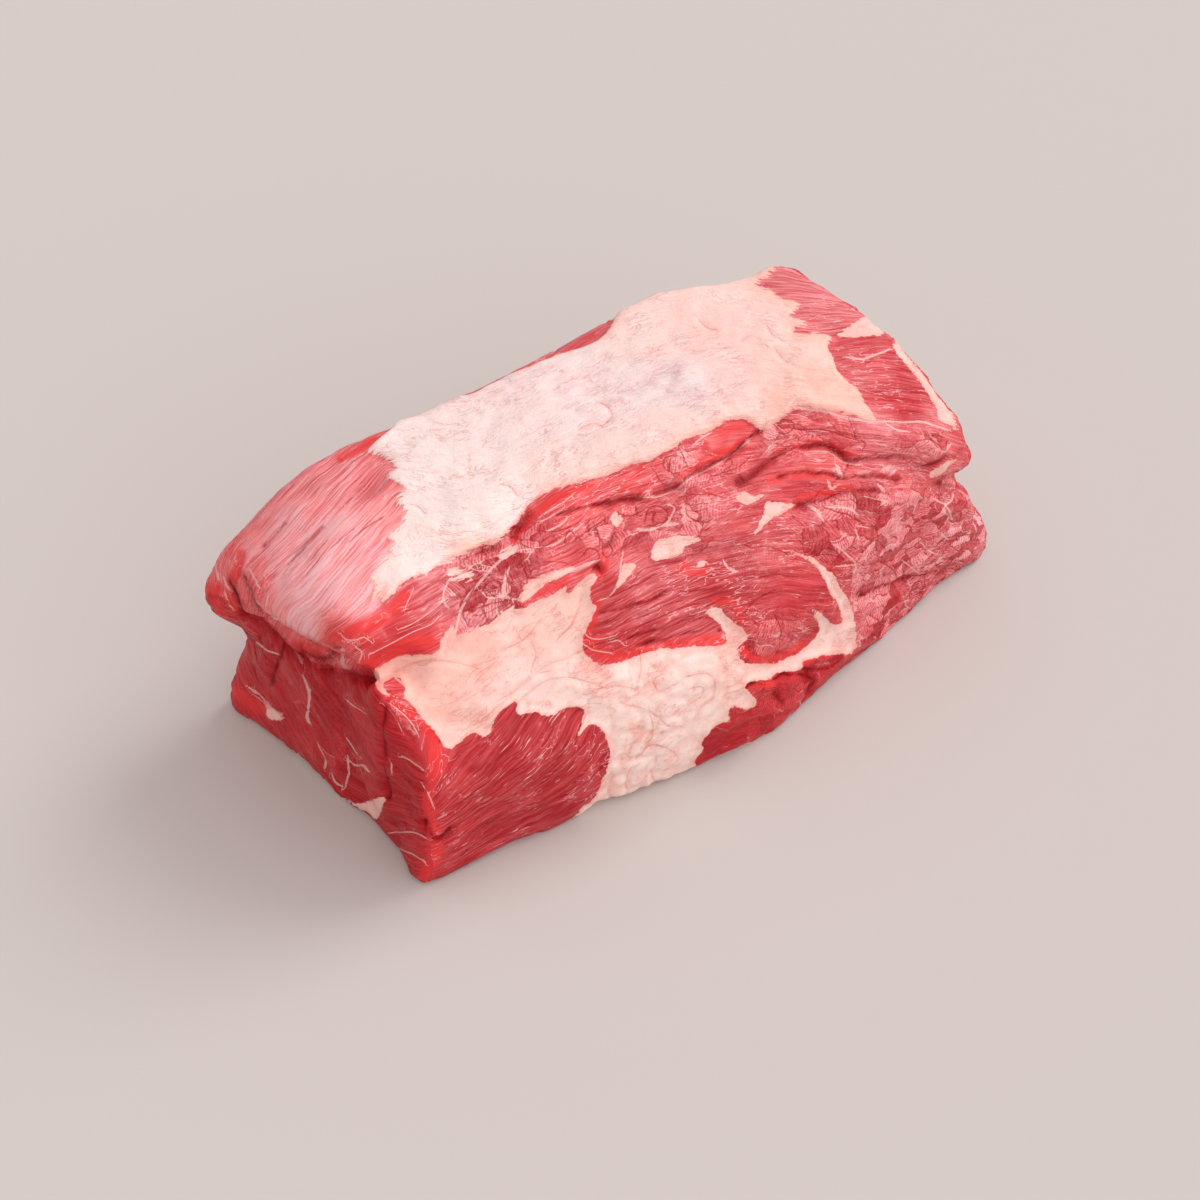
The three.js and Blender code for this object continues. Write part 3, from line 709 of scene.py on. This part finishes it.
# thinner lines where the knife or the grain left a crack in the lean or a crease in the fat, each with
# its half width in pixels
CRACKS = (
    # left of the cap
    (0.8, ((305, 574), (312, 566), (318, 559))),
    (0.9, ((312, 556), (318, 549), (325, 541))),
    (0.8, ((251, 561), (258, 553), (266, 545))),
    (0.8, ((349, 541), (360, 531), (371, 524), (382, 518))),
    (0.7, ((330, 548), (342, 537), (354, 527))),
    # band
    (0.8, ((462, 582), (468, 578), (474, 579), (475, 587), (470, 596), (465, 602))),
    (0.8, ((484, 590), (488, 583), (496, 580), (501, 586), (498, 594), (490, 596))),
    (0.8, ((507, 568), (507, 577), (513, 584), (517, 591), (518, 599))),
    (0.8, ((519, 567), (527, 573), (528, 582), (523, 590), (520, 598))),
    (0.8, ((528, 577), (540, 578), (549, 575))),
    (0.8, ((523, 566), (534, 565), (546, 561), (565, 562))),
    (0.8, ((480, 608), (494, 603), (508, 601))),
    (0.7, ((476, 616), (489, 612), (501, 606))),
    (0.8, ((520, 542), (527, 547), (541, 548), (556, 540))),
    (0.9, ((562, 547), (576, 539), (590, 529), (605, 519))),
    (0.8, ((539, 531), (552, 532), (564, 529), (576, 524), (584, 517))),
    (0.8, ((565, 544), (567, 534), (573, 531), (578, 537))),
    (0.8, ((596, 527), (599, 535), (600, 544))),
    (0.8, ((583, 555), (589, 547), (597, 550), (600, 557), (592, 560))),
    (0.7, ((604, 544), (603, 552), (607, 557), (613, 551), (612, 545))),
    (0.8, ((620, 513), (630, 514), (640, 510))),
    (0.8, ((645, 520), (648, 509), (657, 504), (666, 508), (668, 516), (661, 525), (649, 525))),
    (0.7, ((652, 519), (655, 512), (662, 511))),
    (0.8, ((665, 460), (664, 466), (672, 472), (675, 476))),
    (0.8, ((655, 470), (658, 477), (661, 481))),
    (0.8, ((681, 450), (684, 457), (686, 463))),
    (0.8, ((685, 500), (691, 505), (695, 511), (707, 508))),
    (0.8, ((687, 508), (688, 515), (696, 520), (707, 522))),
    (0.8, ((690, 493), (701, 494), (712, 492), (722, 497))),
    (0.8, ((715, 475), (728, 471), (740, 466), (751, 456))),
    (0.7, ((725, 464), (730, 457), (733, 463), (728, 468))),
    (0.8, ((765, 425), (762, 433), (767, 439), (776, 439), (780, 431), (774, 424))),
    (0.8, ((776, 421), (788, 419), (795, 425), (790, 432), (783, 434))),
    (0.8, ((800, 430), (815, 429), (830, 431), (850, 438))),
    (0.8, ((850, 418), (853, 428), (857, 440))),
    (0.8, ((862, 441), (866, 444), (863, 449))),
    (0.8, ((918, 441), (928, 439), (936, 441), (944, 451), (948, 444))),
    (0.9, ((826, 507), (838, 512), (848, 514), (859, 520))),
    (0.8, ((831, 543), (840, 542), (847, 537))),
    (0.8, ((815, 556), (830, 555), (843, 559))),
    (0.8, ((874, 570), (880, 563), (888, 566), (895, 572), (898, 579))),
    (0.7, ((884, 547), (878, 541), (870, 545))),
    (0.7, ((923, 526), (930, 523), (938, 524))),
    (0.8, ((954, 523), (962, 520), (969, 511))),
    (0.7, ((951, 541), (960, 537), (970, 535), (979, 534))),
    (0.7, ((930, 549), (939, 546), (947, 539))),
    (0.8, ((700, 546), (712, 541), (724, 541), (736, 539))),
    (0.8, ((745, 545), (755, 548), (766, 546), (776, 549), (786, 553))),
    (0.8, ((690, 555), (700, 553), (707, 546))),
    # tongue
    (0.8, ((620, 626), (640, 618), (655, 612), (668, 605), (681, 601))),
    (0.8, ((625, 632), (645, 625), (665, 616), (685, 608), (701, 604))),
    (0.8, ((682, 591), (695, 591), (706, 589))),
    (0.8, ((635, 579), (641, 571), (652, 566), (667, 563), (681, 561))),
    (0.7, ((610, 597), (626, 590), (641, 583), (656, 574))),
    (0.8, ((745, 612), (755, 601), (771, 592))),
    (0.8, ((775, 615), (782, 630), (780, 645))),
    (0.7, ((760, 578), (775, 574), (790, 577))),
    # front fat: swirls round its lobes and pleats at the foot
    (0.8, ((482, 722), (506, 702), (526, 684), (547, 667), (570, 658), (585, 649))),
    (0.7, ((503, 700), (520, 690), (534, 676), (549, 672))),
    (0.8, ((517, 706), (544, 684), (570, 678), (597, 684), (612, 676))),
    (0.7, ((532, 672), (537, 657), (534, 645))),
    (0.8, ((395, 671), (423, 662), (450, 662), (478, 668))),
    (0.8, ((560, 640), (575, 622), (583, 600))),
    (0.7, ((505, 650), (525, 640), (540, 622))),
    (0.8, ((641, 655), (642, 668), (639, 680))),
    (0.8, ((656, 685), (661, 694), (668, 690), (676, 686))),
    (0.8, ((689, 678), (709, 675), (717, 687), (715, 701), (703, 710), (697, 720))),
    (0.7, ((692, 690), (704, 689), (704, 698), (693, 706))),
    (0.8, ((624, 705), (643, 710), (658, 718), (669, 727), (683, 729))),
    (0.7, ((600, 690), (618, 686), (636, 690))),
    (0.9, ((577, 738), (584, 724), (588, 712))),
    (1.0, ((612, 803), (611, 792), (614, 780))),
    (1.0, ((630, 797), (628, 786), (631, 772))),
    (0.9, ((656, 786), (654, 774), (658, 762))),
    (0.8, ((640, 760), (648, 750), (663, 748), (675, 755))),
    (0.7, ((650, 710), (655, 735), (645, 752))),
    # cap
    (0.7, ((502, 486), (510, 488), (516, 495))),
    (0.7, ((580, 430), (592, 425), (603, 428))),
    (0.7, ((598, 404), (607, 408), (612, 416), (606, 424))),
    (0.7, ((566, 384), (574, 380), (586, 377))),
    (0.7, ((410, 503), (418, 505), (424, 512))),
    (0.7, ((776, 352), (783, 360), (792, 366))),
    (0.7, ((766, 326), (772, 336), (781, 341))),
    (0.7, ((700, 322), (708, 330), (716, 332))),
    (0.7, ((742, 342), (748, 338), (758, 341))),
)
# bare, glossy red edges, each with its half width in pixels
REDS = (
    (8, ((385, 697), (403, 706), (423, 722), (433, 742), (434, 766), (429, 790), (431, 820), (437, 850),
         (424, 880))),
    (7, ((296, 645), (314, 650), (334, 639), (352, 631), (372, 623), (392, 609), (405, 595))),
    (9, ((365, 668), (385, 655), (405, 645), (425, 641))),
    (5, ((240, 552), (236, 568), (231, 585), (229, 603), (236, 616))),
    (6, ((213, 590), (218, 612), (230, 630), (243, 640))),
    (6, ((232, 690), (245, 700), (262, 712))),
    (4, ((513, 538), (530, 517), (548, 502), (568, 491), (590, 485))),
    (4, ((680, 476), (700, 463), (720, 452), (744, 440))),
    (4, ((722, 433), (740, 425), (757, 422))),
    (4, ((622, 490), (635, 478), (650, 464))),
    (4, ((640, 492), (655, 486))),
    (4, ((780, 449), (812, 444), (835, 447), (850, 455))),
    (5, ((770, 480), (800, 474), (830, 475))),
    (4, ((800, 497), (830, 492), (850, 487))),
    (5, ((588, 640), (596, 652), (612, 657), (640, 652), (680, 643), (726, 638))),
    (4, ((599, 600), (593, 618), (587, 640))),
    (4, ((742, 642), (749, 656), (766, 661), (785, 655), (803, 646))),
    (5, ((590, 588), (600, 573), (604, 556))),
    (5, ((716, 600), (734, 604), (742, 620))),
    (5, ((683, 566), (692, 572), (706, 570))),
    (4, ((746, 692), (755, 685), (770, 685))),
    (5, ((805, 664), (818, 656), (832, 655))),
    (4, ((776, 678), (790, 674), (806, 678))),
    (5, ((340, 458), (357, 449), (375, 438), (385, 428))),
    (5, ((522, 603), (537, 594), (552, 587), (568, 580))),
)
CAP_EDGE = 1.3  # how far the cap stands above the lean
ISLANDS = 0.8  # how far the lean stands above the soft fat of the front
FLAP = 2.2  # how far back the raised side of a fold slopes
FOLD = 0.5  # how much of a fold's depth its one side rises and the other sinks
GROOVE = 0.8  # how much of it the crease between them is cut in
NO_SEAM = 9.0  # distance to a seam where there is none, in millimetres
BLEND = 0.8  # half the width of the change from lean to fat
SIDE_TURN = (0.5, 0.8)  # how squarely skin faces back or right to belong to that side
BUNDLE = np.array((26, 4.2))  # length and width, in millimetres
STRIP = BUNDLE / 2
CAP_RIPPLE = np.array((9, 2.8))
FRONT_RIPPLE = np.array((12, 3.6))
PARTING = 0.08  # narrowness of the grooves between bundles
LOBULE = 9
LUMP = 9
STRETCH = 8  # over what length a fold gets deeper and shallower
LOOSENESS = 0.5  # how much the lumps bend the lobules


def keep(name, values):
    """Keeps a value at every vertex for the material."""
    attribute = meat.attributes.new(name, "FLOAT", "POINT")
    attribute.data.foreach_set("value", values.astype(np.float32))


def thin_lines(name, lines):
    """Keeps, for each of two sets of lines, how many half widths off it is, and how near any of them is."""
    sets = np.full((2, count), FAR)
    nearest = np.full(count, FAR)
    for number, (half, line) in enumerate(lines):
        gap = np.where(seen > 0.3, distance(pixels, curve(line)), FAR)
        before = sets[number % 2]
        sets[number % 2] = np.where(np.abs(gap / half) < np.abs(before), gap / half, before)
        nearest = np.minimum(nearest, np.abs(gap) * PIXEL)
    keep(name + "_odd", sets[0])
    keep(name + "_even", sets[1])
    keep(name + "_gap", nearest)
    return nearest


def drawn_out(size, shift=0):
    """Noise drawn out along the grain, by its length and width."""
    grain = np.stack((along, across), axis=1)
    return waves(np.concatenate((grain / size, stand[:, 2:] / 60), axis=1), shift)


def bump_at(gap, width):
    """1 where a gap is 0, falling off on both sides over a width."""
    return np.exp(-(gap / width) ** 2)


uneven = waves(stand / STRETCH, 30)
wander = 0.7 * waves(stand / 5, 31) + 0.3 * waves(stand / 2, 32)  # how far a fold strays from its line
relief = np.zeros(count)
seam_gap = np.full(count, NO_SEAM)
back_side = (1 - seen) * fade(normals[:, 1], *SIDE_TURN)
right_side = (1 - seen) * fade(normals[:, 0], *SIDE_TURN)
for spots, unit, share, seams in (
    (pixels, PIXEL, seen, SEAMS),
    (stand[:, [0, 2]], 1, back_side, BACK_SEAMS),
    (stand[:, [1, 2]], 1, right_side, RIGHT_SEAMS),
):
    for half, depth, line in seams:
        gap = distance(spots, curve(line)) * unit + wander
        raised = np.where(gap < 0, np.exp(gap / FLAP), -np.exp(-gap / FLAP))
        strength = share * depth * np.clip(0.8 + 1.2 * uneven, 0.1, 1.6)
        relief += strength * (FOLD * raised * fade(np.abs(gap), 0, 0.8) - GROOVE * bump_at(gap, half))
        # how near each seam is, which sets the width of the painted shade along it and of the thinner wet
        # film there
        near = np.abs(gap) / np.clip(strength, 0.1, 1.8) + 0.2 * np.clip(strength, 0, 1.5)
        seam_gap = np.minimum(seam_gap, near)
bare = np.zeros(count)
for half, line in REDS:
    bare = np.maximum(bare, seen * bump_at(distance(pixels, curve(line)), half))
thin_lines("vein", VEINS)
creases = thin_lines("crack", CRACKS)

is_cap = fade(cap, -0.9, 0.9) * seen
is_fat = fade(fat, -BLEND, BLEND)
is_front_fat = is_fat * (1 - is_cap)
in_lean = (1 - is_fat) * (1 - 0.7 * fade(frost_and_sheen, 0.5, 0.9) * (1 - mosaic))
creased = np.clip(0.7 + uneven, 0, 1)
lumpy = waves(stand / LUMP, 2)
bundles = drawn_out(BUNDLE)
bent = stand / LOBULE + np.stack((lumpy, uneven, lumpy * uneven), axis=1) * LOOSENESS
lobules = np.array([noise.voronoi(spot)[0] for spot in bent.tolist()])
pillows = fade(lobules[:, 1] - lobules[:, 0], 0, 0.3)

# each form of the relief: where it is, how high in millimetres, and its shape
for where, height, form in (
    (creased * is_fat, 0.2, bump_at(creases - 2, 1.2)),
    (creased, -0.3, bump_at(creases, 0.8)),
    (is_cap, CAP_EDGE, fade(cap, -0.5, 1.2) * (1 - 0.85 * fade(frost_and_sheen, 0.4, 0.8))),
    (is_front_fat, -ISLANDS, fade(fat, 0, 2.5)),
    (in_lean, 0.5, bundles),
    (in_lean, -0.6, bump_at(bundles, PARTING)),
    (in_lean, 0.3, drawn_out(STRIP, 5)),
    (in_lean, 0.3, lumpy),
    (in_lean * mosaic, 0.4, waves(stand / 3.4, 11)),
    (is_cap, 0.35, drawn_out(CAP_RIPPLE, 9)),
    (is_cap, 0.4, lumpy),
    (is_cap, 0.3, waves(stand / 3.5, 3)),
    (is_front_fat * lobed, 0.8, pillows - 0.6),
    (is_front_fat, 0.7, uneven),
    (is_front_fat, 0.35, waves(stand / 4.5, 7)),
    (is_front_fat * (1 - lobed), 0.5, drawn_out(FRONT_RIPPLE, 17)),
    (is_front_fat * (1 - lobed), 0.3, lumpy),
):
    relief += where * height * form

moved = places + normals * relief[:, None]
moved[:, 2] = np.maximum(moved[:, 2], 0)
meat.vertices.foreach_set("co", (moved * MILLIMETRE).ravel())
for face in meat.polygons:
    face.use_smooth = True
brisket = add("brisket", meat)
for name, values in (
    ("fat", fat), ("cap", cap * seen + NO_FAT * (1 - seen)), ("along", along), ("across", across),
    ("torn", torn), ("bright", bright), ("frost_and_sheen", frost_and_sheen), ("mosaic", mosaic), ("apricot", apricot),
    ("lilac", lilac), ("lobed", lobed), ("pillows", pillows), ("seam_gap", seam_gap), ("bare", bare),
):
    keep(name, values)


# ----------------------------------------------------------------------------------------------- the finish
# Moist raw meat: lean from wine red to salmon with fine pale fibres and marbling, their frost partly painted
# sheen, and fat from cream to pink.
# Both are a little see-through and lie under a thin wet film.
class Wire:
    """One socket of a material. Sums, differences, products and quotients of wires add Math nodes."""

    def __init__(self, tree, socket=None):
        self.tree = tree
        self.socket = socket

    def node(self, kind, settings, inputs, output=0):
        """Adds a node, makes its settings, then sets or links its sockets."""
        node = self.tree.nodes.new("ShaderNode" + kind)
        for name, setting in settings.items():
            setattr(node, name, setting)
        for name, value in inputs.items():
            if isinstance(value, Wire):
                self.tree.links.new(value.socket, node.inputs[name])
            else:
                node.inputs[name].default_value = value
        return None if output is None else Wire(self.tree, node.outputs[output])

    def work_out(self, operation, *values):
        """One Math node on the values given."""
        return self.node("Math", {"operation": operation}, dict(enumerate(values)))

    def __add__(self, other):
        return self.work_out("ADD", self, other)

    def __sub__(self, other):
        return self.work_out("SUBTRACT", self, other)

    def __rsub__(self, other):
        return self.work_out("SUBTRACT", other, self)

    def __mul__(self, other):
        return self.work_out("MULTIPLY", self, other)

    def __truediv__(self, other):
        return self.work_out("DIVIDE", self, other)

    __radd__ = __add__
    __rmul__ = __mul__

    def least(self, other):
        return self.work_out("MINIMUM", self, other)

    def size(self):
        """This number without its sign."""
        return self.work_out("ABSOLUTE", self)

    def sine(self):
        return self.work_out("SINE", self)

    def cosine(self):
        return self.work_out("COSINE", self)

    def kept(self, name):
        """The value kept under a name at the vertices."""
        return self.node("Attribute", {"attribute_name": name}, {}, "Fac")

    def fade(self, low, high):
        """Rises smoothly from 0 at low to 1 at high, or falls if high is below low."""
        ends = {"From Min": low, "From Max": high}
        return self.node("MapRange", {"interpolation_type": "SMOOTHSTEP"}, {"Value": self, **ends})

    def spot(self, x, y, z):
        """The place that three numbers give."""
        return self.node("CombineXYZ", {}, {"X": x, "Y": y, "Z": z})

    def noise(self, scale=1, detail=2, roughness=0.5):
        """Noise from -1 to 1 at a spot."""
        inputs = {"Vector": self, "Scale": scale, "Detail": detail, "Roughness": roughness}
        return self.node("TexNoise", {}, inputs) * 2 - 1

    def cells(self, feature, output):
        """Cells about 1 across round a spot."""
        settings = {"voronoi_dimensions": "2D", "feature": feature}
        return self.node("TexVoronoi", settings, {"Vector": self, "Scale": 1}, output)

    def mix(self, start, end):
        """From one colour to another, by this share."""
        return self.node("Mix", {"data_type": "RGBA"}, {0: self, 6: start, 7: end}, 2)


WINE = (0.40, 0.007, 0.014, 1)
RED = (0.60, 0.033, 0.040, 1)
SCARLET = (0.88, 0.10, 0.10, 1)
BARE = (0.80, 0.040, 0.040, 1)
ROSE = (0.99, 0.52, 0.55, 1)
PALE = (0.95, 0.64, 0.61, 1)
CREVICE_SHADE = (0.22, 0.000, 0.003, 1)
CREAM = (0.90, 0.73, 0.705, 1)
BLUSH = (0.90, 0.38, 0.33, 1)
SALMON = (0.94, 0.33, 0.27, 1)
APRICOT = (0.96, 0.53, 0.45, 1)
LIT_SUET = (1.00, 0.80, 0.73, 1)
LILAC = (0.73, 0.44, 0.49, 1)
DRY_ROUGHNESS = 0.42
RISE = 0.0006  # of the finest relief, in metres
GLOSS = 0.08
WET = 0.26
FILM_ROUGHNESS = 0.28
WATER_IOR = 1.33
SEE_THROUGH = 0.2
REDDENING = (1, 0.3, 0.2)  # how far each colour of light gets into the meat
GLOW_DEPTH = 0.0012

# streaks drawn out along the grain: length along it and pitch across it in millimetres, and a seed
FIBRES = (14, 0.7, 3)
THREADS = (8, 0.4, 5)
STRANDS = (22, 1.9, 9)
TONES = (30, 5, 8)
MARBLING = (9, 0.42, 14)
FLAKES = (3.5, 1.1, 17)
HAIRS = (9, 2.4, 41)
RAGS = (6, 0.9, 31)
WRINKLES = (8, 1.6, 21)
SCRATCHES = (5, 0.5, 25)
FAT_HAIRS = (7, 2.2, 27)
CELL_LENGTH = 8  # bundles cut across: length and width of a cell in millimetres
CELL_WIDTH = 4.6
FULL_TURN = 6.3

material = bpy.data.materials.new("raw_meat")
material.use_nodes = True
material.node_tree.nodes.clear()
wire = Wire(material.node_tree)
millimetres = wire.node("VectorMath", {"operation": "SCALE"}, {
    0: wire.node("TexCoord", {}, {}, "Object"), "Scale": 1 / MILLIMETRE,
})
along_grain = wire.kept("along")
sway = millimetres.noise(0.09) * 0.8
crimp = wire.spot(along_grain * 0.25, wire.kept("across") * 0.15, 0).noise(1, 1) * 0.175
across_grain = wire.kept("across") + sway + crimp


def streaks(length, pitch, seed, detail=2, roughness=0.55):
    """Noise from -1 to 1 drawn out along the grain."""
    return wire.spot(along_grain * (1 / length), across_grain * (1 / pitch), seed).noise(1, detail, roughness)


def layered(colour, *layers):
    """A colour with others laid over it one by one, each by its own share."""
    for tint, share in layers:
        colour = share.mix(colour, tint)
    return colour


bundle_tone = streaks(*TONES)
patches = millimetres.noise(0.06, 3)
flecked = millimetres.noise(0.11)
speckle = millimetres.noise(0.5, 4, 0.7)
grit = millimetres.noise(1.3, 3, 0.7)


def thin(name):
    """How far a spot lies on one of the thin lines kept under a name."""
    off = wire.kept(name + "_odd").size().least(wire.kept(name + "_even").size())
    broken = (off + grit * 0.6 + speckle * 1.3).fade(1.3, 0.5)
    return broken * wire.kept(name + "_gap").fade(1.8, 1.1)


cracks = thin("crack")
veins = thin("vein")

# where the cut crosses the grain, bundles show as cells, each with its own lie of the fibres
cell_spot = wire.spot(
    along_grain / CELL_LENGTH + millimetres.noise(0.16) * 0.55 + 0.55,
    across_grain / CELL_WIDTH + millimetres.noise(0.19) * 0.55 + 0.55,
    0,
)
cell_edge = cell_spot.cells("DISTANCE_TO_EDGE", "Distance")
chance = cell_spot.cells("F1", "Color") * 1  # each cell's colour, as one number
turn = chance * FULL_TURN
lie = across_grain * turn.cosine() - along_grain * turn.sine()
whorls = (lie * 6.5 + millimetres.noise(0.5) * 4.5 + 4.5).sine() * (speckle + 0.6) * chance.fade(0.2, 0.7)
with_fibres = along_grain * turn.cosine() + across_grain * turn.sine()
turned = wire.spot(with_fibres * 0.35, lie * 1.7, 4).noise(1, 2, 0.6)

mosaic_share = wire.kept("mosaic").fade(0.15, 0.6)
frost_and_sheen_share = wire.kept("frost_and_sheen")
straight = 1 - mosaic_share
grain_texture = streaks(*FIBRES, roughness=0.6) + streaks(*STRANDS) * 0.4
texture = grain_texture * straight + (turned + whorls * 0.42 + grit * 0.5) * mosaic_share
tone = wire.kept("bright") + bundle_tone * 0.4 + patches * 0.3 + texture * 0.9
tone = tone + (chance - 0.5) * 1.5 * mosaic_share
threads = streaks(*THREADS)
lines = (texture + threads * 0.4).fade(-0.4, 0.45)
frosted_with_sheen = frost_and_sheen_share * (1 + (chance - 0.45) * 2.2 * mosaic_share)
marbling = (streaks(*MARBLING, roughness=0.6) + flecked * 0.3).fade(0.30, 0.42)
flakes = (streaks(*FLAKES, 3, 0.65) + flecked * 0.3).fade(0.38, 0.5)
cell_lines = (cell_edge + grit * 0.015).fade(0.075, 0.03) * mosaic_share
bareness = (wire.kept("bare") + texture * 0.5 + bundle_tone * 0.5 + speckle * 0.3).fade(0.2, 0.8)
hairs = (streaks(*HAIRS) + grit * 0.02).size().fade(0.035, 0.012) * patches.fade(-0.1, 0.2)
off_seam = wire.kept("seam_gap") + grit * 0.4
torn_share = wire.kept("torn")
lean = layered(
    tone.fade(-0.1, 0.7).mix(WINE, RED),
    (SCARLET, tone.fade(0.6, 1.4)),
    # pale rose frost along the fibres: partly their own streaks, partly painted sheen of the wet film
    (ROSE, frosted_with_sheen * (lines * 0.62 + frosted_with_sheen * 0.26)),
    (PALE, marbling * straight * frost_and_sheen_share.fade(0.02, 0.12) * 0.8),
    (PALE, flakes * frost_and_sheen_share.fade(0.02, 0.3) * 0.6),
    (WINE, cell_lines * flecked.fade(0.25, -0.05) * 0.75),
    (PALE, cell_lines * flecked.fade(0.12, 0.3) * 0.45),
    (BARE, bareness * (0.8 + texture * 0.35)),
    (PALE, veins * (0.55 + speckle * 0.5)),
    (ROSE, hairs * frost_and_sheen_share.fade(0, 0.1) * 0.6),
    # painted shade: near the seams and folds the lean turns wine red and then deep red, standing for the
    # shade in their hollows
    (WINE, off_seam.fade(2.4, 0.8) * (0.6 - frosted_with_sheen * 0.4)),
    (CREVICE_SHADE, off_seam.fade(1.1, 0.3) * (0.95 - frosted_with_sheen * 0.5)),
    (WINE, cracks * (0.85 - frost_and_sheen_share * 0.3)),
    (RED, torn_share.fade(0.5, 1) * 0.8),
)

firm = wire.kept("cap").fade(-3, 2)
soft = 1 - firm
apricot_share = wire.kept("apricot")
lobed_share = wire.kept("lobed")
ragged = wire.kept("fat") + streaks(*RAGS) * (0.5 + firm * 0.5 + frost_and_sheen_share.fade(0.3, 0.8) * 3)
ragged = ragged + millimetres.noise(0.35, 4, 0.65)
fat_share = ragged.fade(-0.15, 0.3)
wrinkles = streaks(*WRINKLES, 3, 0.6)
scratches = streaks(*SCRATCHES)
blotches = millimetres.noise(0.09, 5, 0.65)
fat_hairs = (streaks(*FAT_HAIRS) + grit * 0.03).size().fade(0.05, 0.015) * blotches.fade(-0.1, 0.2)
cut_edge = wire.kept("cap").fade(5, 0.5) * firm * apricot_share.fade(0.1, 0.5)
fat_colour = layered(
    apricot_share.mix(CREAM, APRICOT),
    # painted light: the soft fat of the lobules is made paler than the cap's cream, making up for the shade
    # on their down-facing front
    (LIT_SUET, soft * lobed_share * 0.9),
    (LILAC, wire.kept("lilac") * (blotches + scratches * 0.5).fade(-0.4, 0.4) * 0.8),
    (CREAM, (blotches + speckle * 0.6).fade(0, 0.6) * (0.1 + firm * 0.5)),
    (BLUSH, (wrinkles - speckle * 0.4).fade(0, 0.7) * (0.2 + firm * 0.25)),
    (BLUSH, (scratches + blotches * 0.4).fade(0.25, 0.5) * (0.05 + firm * 0.4)),
    (CREAM, (scratches - blotches * 0.4).fade(-0.2, -0.45) * (0.05 + firm * 0.55)),
    (SALMON, (blotches + patches * 0.8 + speckle * 0.3).fade(-0.2, 0.6) * soft * 0.6),
    (BLUSH, (speckle + grit * 0.5).fade(0, 0.5) * soft * 0.4),
    (SALMON, lobed_share * (1 - wire.kept("pillows")) * 0.22),
    (APRICOT, cut_edge * 0.6),
    (SALMON, cut_edge * (speckle + scratches).fade(0, 0.5) * 0.5),
    (BLUSH, fat_hairs.fade(0, 1) * 0.5),
    (BLUSH, wire.kept("crack_gap").fade(1.4, 0.2) * 0.15),
    (SALMON, cracks * (blotches - speckle * 0.8).fade(-0.3, 0.3) * 0.8),
    (BLUSH, (ragged + speckle * 0.6).fade(1.6, 0) * 0.55),
)

height = (texture * 0.35 + threads * 0.15 + cell_edge.fade(0, 0.15) * mosaic_share * 0.3) * (1 - fat_share)
grained = (wrinkles * 0.3 + scratches * 0.3) * (0.2 + firm * 0.8)
height = height + (grained + speckle * (0.1 + firm * 0.35) + grit * 0.1 - fat_hairs * 0.4) * fat_share
height = height - marbling * 0.1 - cracks * (0.1 + fat_share * 0.2) + fat_share * 0.4
shader = wire.node("BsdfPrincipled", {}, {
    "Base Color": fat_share.mix(lean, fat_colour),
    "Roughness": DRY_ROUGHNESS - texture * 0.15 + fat_share * 0.08,
    "Normal": wire.node("Bump", {}, {"Height": height * (1 - torn_share), "Strength": 0.8, "Distance": RISE}),
    "Specular IOR Level": GLOSS,
    "Coat Weight": WET - off_seam.fade(1.8, 0.4) * WET,
    "Coat Roughness": FILM_ROUGHNESS,
    "Coat IOR": WATER_IOR,
    "Subsurface Weight": SEE_THROUGH,
    "Subsurface Radius": REDDENING,
    "Subsurface Scale": GLOW_DEPTH,
})
wire.node("OutputMaterial", {}, {"Surface": shader}, None)
meat.materials.append(material)

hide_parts("brisket_point")
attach(brisket, "root")

# ------------------------------------------------------------------------------------- table and light
# A plain pale table in soft even daylight, which comes mostly from above on the right.
TABLE = (0.545, 0.49, 0.47, 1)
TABLE_GLOW = 0.08  # light from the table itself, which keeps the shadows on it pale
TABLE_HALF = 3  # metres
TABLE_ROUGHNESS = 0.9
TABLE_GLOSS = 0.1
SKY = (1, 0.96, 0.94, 1)
SKY_STRENGTH = 0.66
# wide soft lamps far off: where from, how strong and how wide in degrees
LAMPS = (
    ("sun", (0.28, -0.74, 0.61), 1.05, 80),
    ("window", (0.68, 0.06, 0.60), 1.5, 34),
)
GLINT_PLACE = Vector((0.55, -0.6, 1.1))  # a small lamp that only shows in the wet film
GLINT_POWER = 9
GLINT_SIZE = 0.2


def toward_middle(lamp, place):
    """Turns a lamp that stands at a place to the middle of the table."""
    lamp.rotation_euler = place.to_track_quat("Z", "Y").to_euler()


surface = bmesh.new()
bmesh.ops.create_grid(surface, x_segments=1, y_segments=1, size=TABLE_HALF)
table = add("table", bpy.data.meshes.new("table"))
surface.to_mesh(table.data)
surface.free()
stone = bpy.data.materials.new("pale_table")
stone.use_nodes = True
sockets = stone.node_tree.nodes["Principled BSDF"].inputs
for name, value in (
    ("Base Color", TABLE), ("Roughness", TABLE_ROUGHNESS), ("Specular IOR Level", TABLE_GLOSS),
    ("Emission Color", TABLE), ("Emission Strength", TABLE_GLOW),
):
    sockets[name].default_value = value
table.data.materials.append(stone)

for name, place, strength, width in LAMPS:
    lamp = add(name, bpy.data.lights.new(name, "SUN"))
    lamp.data.energy = strength
    lamp.data.angle = math.radians(width)
    toward_middle(lamp, Vector(place))
glint = add("glint", bpy.data.lights.new("glint", "AREA"))
glint.data.energy = GLINT_POWER
glint.data.size = GLINT_SIZE
glint.location = GLINT_PLACE
glint.visible_diffuse = False
toward_middle(glint, GLINT_PLACE)

world = bpy.data.worlds.new("room")
world.use_nodes = True
sky = world.node_tree.nodes["Background"].inputs
sky["Color"].default_value = SKY
sky["Strength"].default_value = SKY_STRENGTH
bpy.context.scene.world = world
bpy.context.scene.view_settings.view_transform = "Standard"
